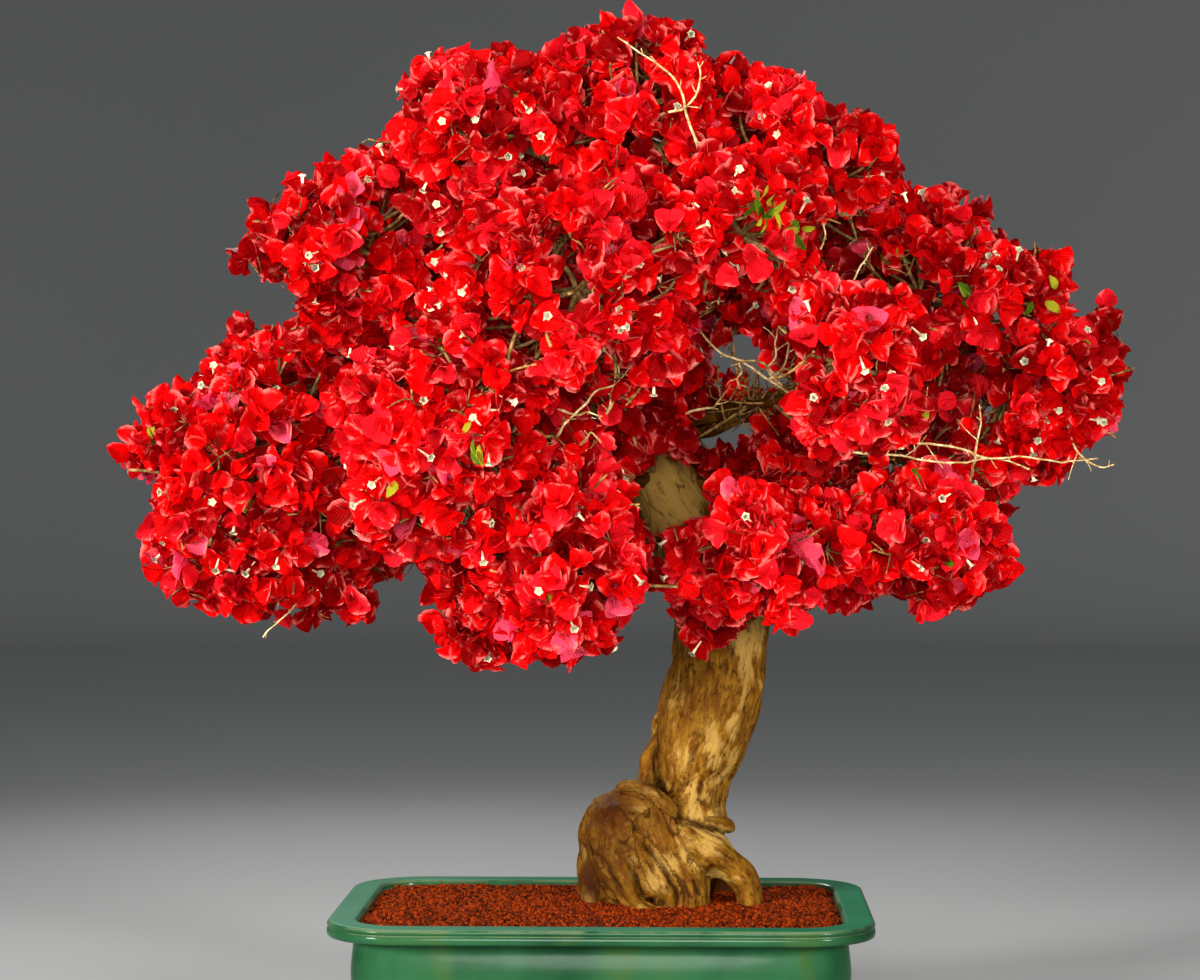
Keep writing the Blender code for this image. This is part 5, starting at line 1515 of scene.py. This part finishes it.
def leaf_shape(rng):
    """A green leaf: its half width is sin(pi u^0.8)^0.85 of the widest, drawn to a point."""
    u, v = np.array(BRACT_ROWS)[:, None], np.array(BRACT_COLUMNS)[None]
    width = LEAF_HALF_WIDTH * np.sin(math.pi * np.clip(u, 1e-9, 1) ** 0.8) ** 0.85
    rise = 0.35 * v**2 * width + rng.uniform(0.01, 0.04) * np.sin(5 * u + 3 * v)
    return blade(u, v, rng.uniform(0.4, 0.9), rng.uniform(0.4, 1.1), width, rise)


leaf_kinds = np.array([leaf_shape(rng) for _ in range(LEAF_KINDS)])
hosts = rng.choice(np.flatnonzero(outward > 0.2), LEAVES // LEAVES_TOGETHER)
hosts = np.repeat(hosts, LEAVES_TOGETHER)
own = rng.normal(0, 0.003, (len(hosts), 3))
for x, z, tuft in LEAF_TUFTS:
    near = np.flatnonzero(np.linalg.norm(bases[:, ::2] - (x, z), axis=1) < 0.013)
    foremost = near[np.argmin(bases[near, 1])]
    hosts = np.concatenate([hosts, np.full(tuft, foremost)])
    own = np.vstack([own, rng.normal(0, 0.004, (tuft, 3)) - (0, 0.016, 0)])
shapes = leaf_kinds[rng.integers(0, LEAF_KINDS, len(hosts))]
spin, tilt = rng.uniform(0, 2 * math.pi, len(hosts)), rng.uniform(0.0, 0.7, len(hosts))
lengths = rng.uniform(*LEAF_LENGTHS, len(hosts))
leaves = set_round(bases[hosts] + own, heads[hosts], spin, tilt, shapes, lengths)
for k, (name, colour) in enumerate(LEAF_COLOURS.items()):
    add_leaves(name, leaves[k::2], leaf_finish(name, colour, colour, LEAF_EDGE_HIGHLIGHT, sinks=0.75, roughness=0.40))

# ---------------------------------------------------------------------------------- true flowers
# The real flowers are small cream trumpets that stand among the bracts, one to a twig where open:
# a thin green-red tube and a star of five lobes.
OPEN_SHARE = 0.10
TRUMPET_SIDES = 10
NOTCH = 0.78  # the star's radius between two lobes, as a share of a lobe's
TRUMPET_RINGS = ((0.002, 0.0007), (0.011, 0.0009), (0.0185, 0.0014))  # height on the tube, radius
STAR_RING = (0.0199, 0.0040)
STAR_MIDDLE = 0.0207
CREAM, CREAM_SHADE = (0.950, 0.880, 0.560, 1), (0.850, 0.660, 0.220, 1)


def trumpet_shape():
    """Rings along the tube, then the star: its radius swings between lobe and notch five times round."""
    k = np.arange(TRUMPET_SIDES)
    turn = k * 2 * math.pi / TRUMPET_SIDES
    rings = []
    for height, radius in (*TRUMPET_RINGS, STAR_RING):
        wide = radius * np.where((k % 2 == 1) & (height == STAR_RING[0]), NOTCH, 1.0)
        rings.append(np.stack([0 * turn + height, wide * np.cos(turn), wide * np.sin(turn)], axis=1))
    return np.vstack([*rings, [(STAR_MIDDLE, 0, 0)]])


star_points = trumpet_shape()
k = np.arange(TRUMPET_SIDES)
last_ring = len(TRUMPET_RINGS) * TRUMPET_SIDES
face = np.stack([last_ring + k, last_ring + (k + 1) % TRUMPET_SIDES, 0 * k + len(star_points) - 1], axis=1)
star_faces = np.vstack([grid_triangles(len(TRUMPET_RINGS) + 1, TRUMPET_SIDES), face, face[:, ::-1]])
open_flowers = (rng.uniform(0, 1, count) < OPEN_SHARE) & (outward > 0)
side, other = flower_frames(heads[open_flowers], spins[open_flowers])
axes = np.stack([heads[open_flowers], side, other], axis=1)
stars = bases[open_flowers][:, None] + np.einsum("vi,nij->nvj", star_points, axes)
cream = Finish("cream_petals", Roughness=0.5, Specular_IOR_Level=0.4)
fleck = cream.noise(cream.place(), 700.0, 2.0)
cream.surface(Base_Color=cream.blend(fleck.step(0.45, 0.75) * 0.4, CREAM, CREAM_SHADE))
cream.bump(fleck, 0.0003, 0.4)
star_mesh = make_mesh("small_flowers", *repeated(stars, star_faces))
add_piece("small_flowers", star_mesh, cream, masses)

# ---------------------------------------------------------------------------------- the studio
# A pale floor that runs up all round into a wide round wall, five soft lamps and the camera.
FLOOR_RADIUS = 6.0
WALL_RADIUS = 9.0
WALL_HEIGHT = 7.0
FLOOR_SIDES = 96
SWEEP_ROWS = 24  # of the quarter ellipse by which the floor turns up into the wall
PAPER = (0.36, 0.36, 0.35, 1)
turn = np.arange(FLOOR_SIDES) * 2 * math.pi / FLOOR_SIDES
sweep = np.linspace(0, 1, SWEEP_ROWS) * math.pi / 2
radius = np.array([0.02, 2, 4, *(FLOOR_RADIUS + (WALL_RADIUS - FLOOR_RADIUS) * np.sin(sweep))])[:, None]
height = np.array([0, 0, 0, *(WALL_HEIGHT * (1 - np.cos(sweep)))])[:, None]
floor = np.dstack([radius * np.cos(turn), radius * np.sin(turn), height + 0 * turn])
floor_mesh = make_mesh("floor", floor.reshape(-1, 3), grid_triangles(*floor.shape[:2])[:, ::-1])
paper = Finish("pale_floor", Roughness=0.9, Specular_IOR_Level=0.2)
paper.surface(Base_Color=PAPER)
floor_mesh.materials.append(paper.material)
floor_object = bpy.data.objects.new("floor", floor_mesh)
bpy.context.scene.collection.objects.link(floor_object)

LAMPS = {  # where it stands, what it points at, its width, its power in watts
    "key": ((-2.0, -1.95, 0.88), (0.0, 0.0, 0.50), 0.7, 45),
    "front": ((-0.05, -2.9, 0.62), (0.0, 0.0, 0.50), 0.9, 18),
    "side": ((2.0, -2.1, 1.0), (0.05, 0.0, 0.40), 0.7, 23),
    "top": ((0.0, 0.3, 2.9), (0.0, 0.0, 0.60), 1.0, 2),
    "back": ((-0.8, 2.5, 2.0), (0.0, 0.0, 0.50), 0.9, 11),
}
LAMP_SPREAD = math.radians(90)
for name, (place, aim, width, power) in LAMPS.items():
    lamp = bpy.data.lights.new(name, "AREA")
    lamp.shape = "DISK"
    lamp.size = width
    lamp.energy = power
    lamp.spread = LAMP_SPREAD
    holder = bpy.data.objects.new(name, lamp)
    holder.location = place
    holder.rotation_euler = (Vector(aim) - Vector(place)).to_track_quat("-Z", "Y").to_euler()
    bpy.context.scene.collection.objects.link(holder)
AIR_COLOUR = (0.90, 0.94, 1.0, 1)
AIR_STRENGTH = 0.26
world = bpy.data.worlds.new("studio")
world.use_nodes = True
air = world.node_tree.nodes["Background"].inputs
air["Color"].default_value = AIR_COLOUR
air["Strength"].default_value = AIR_STRENGTH
bpy.context.scene.world = world
bpy.context.scene.view_settings.view_transform = "Standard"

CAMERA_PLACE = (0.075, -2.612, 0.512)
YAW = math.radians(1.72)
DIP = math.radians(0.406)
SENSOR_WIDTH = 36.0
FOCAL_LENGTH = 88.98
lens = bpy.data.cameras.new("camera")
lens.sensor_width = SENSOR_WIDTH
lens.lens = FOCAL_LENGTH
camera = bpy.data.objects.new("camera", lens)
camera.location = CAMERA_PLACE
camera.rotation_euler = (math.pi / 2 - DIP, 0, YAW)
bpy.context.scene.collection.objects.link(camera)
bpy.context.scene.camera = camera
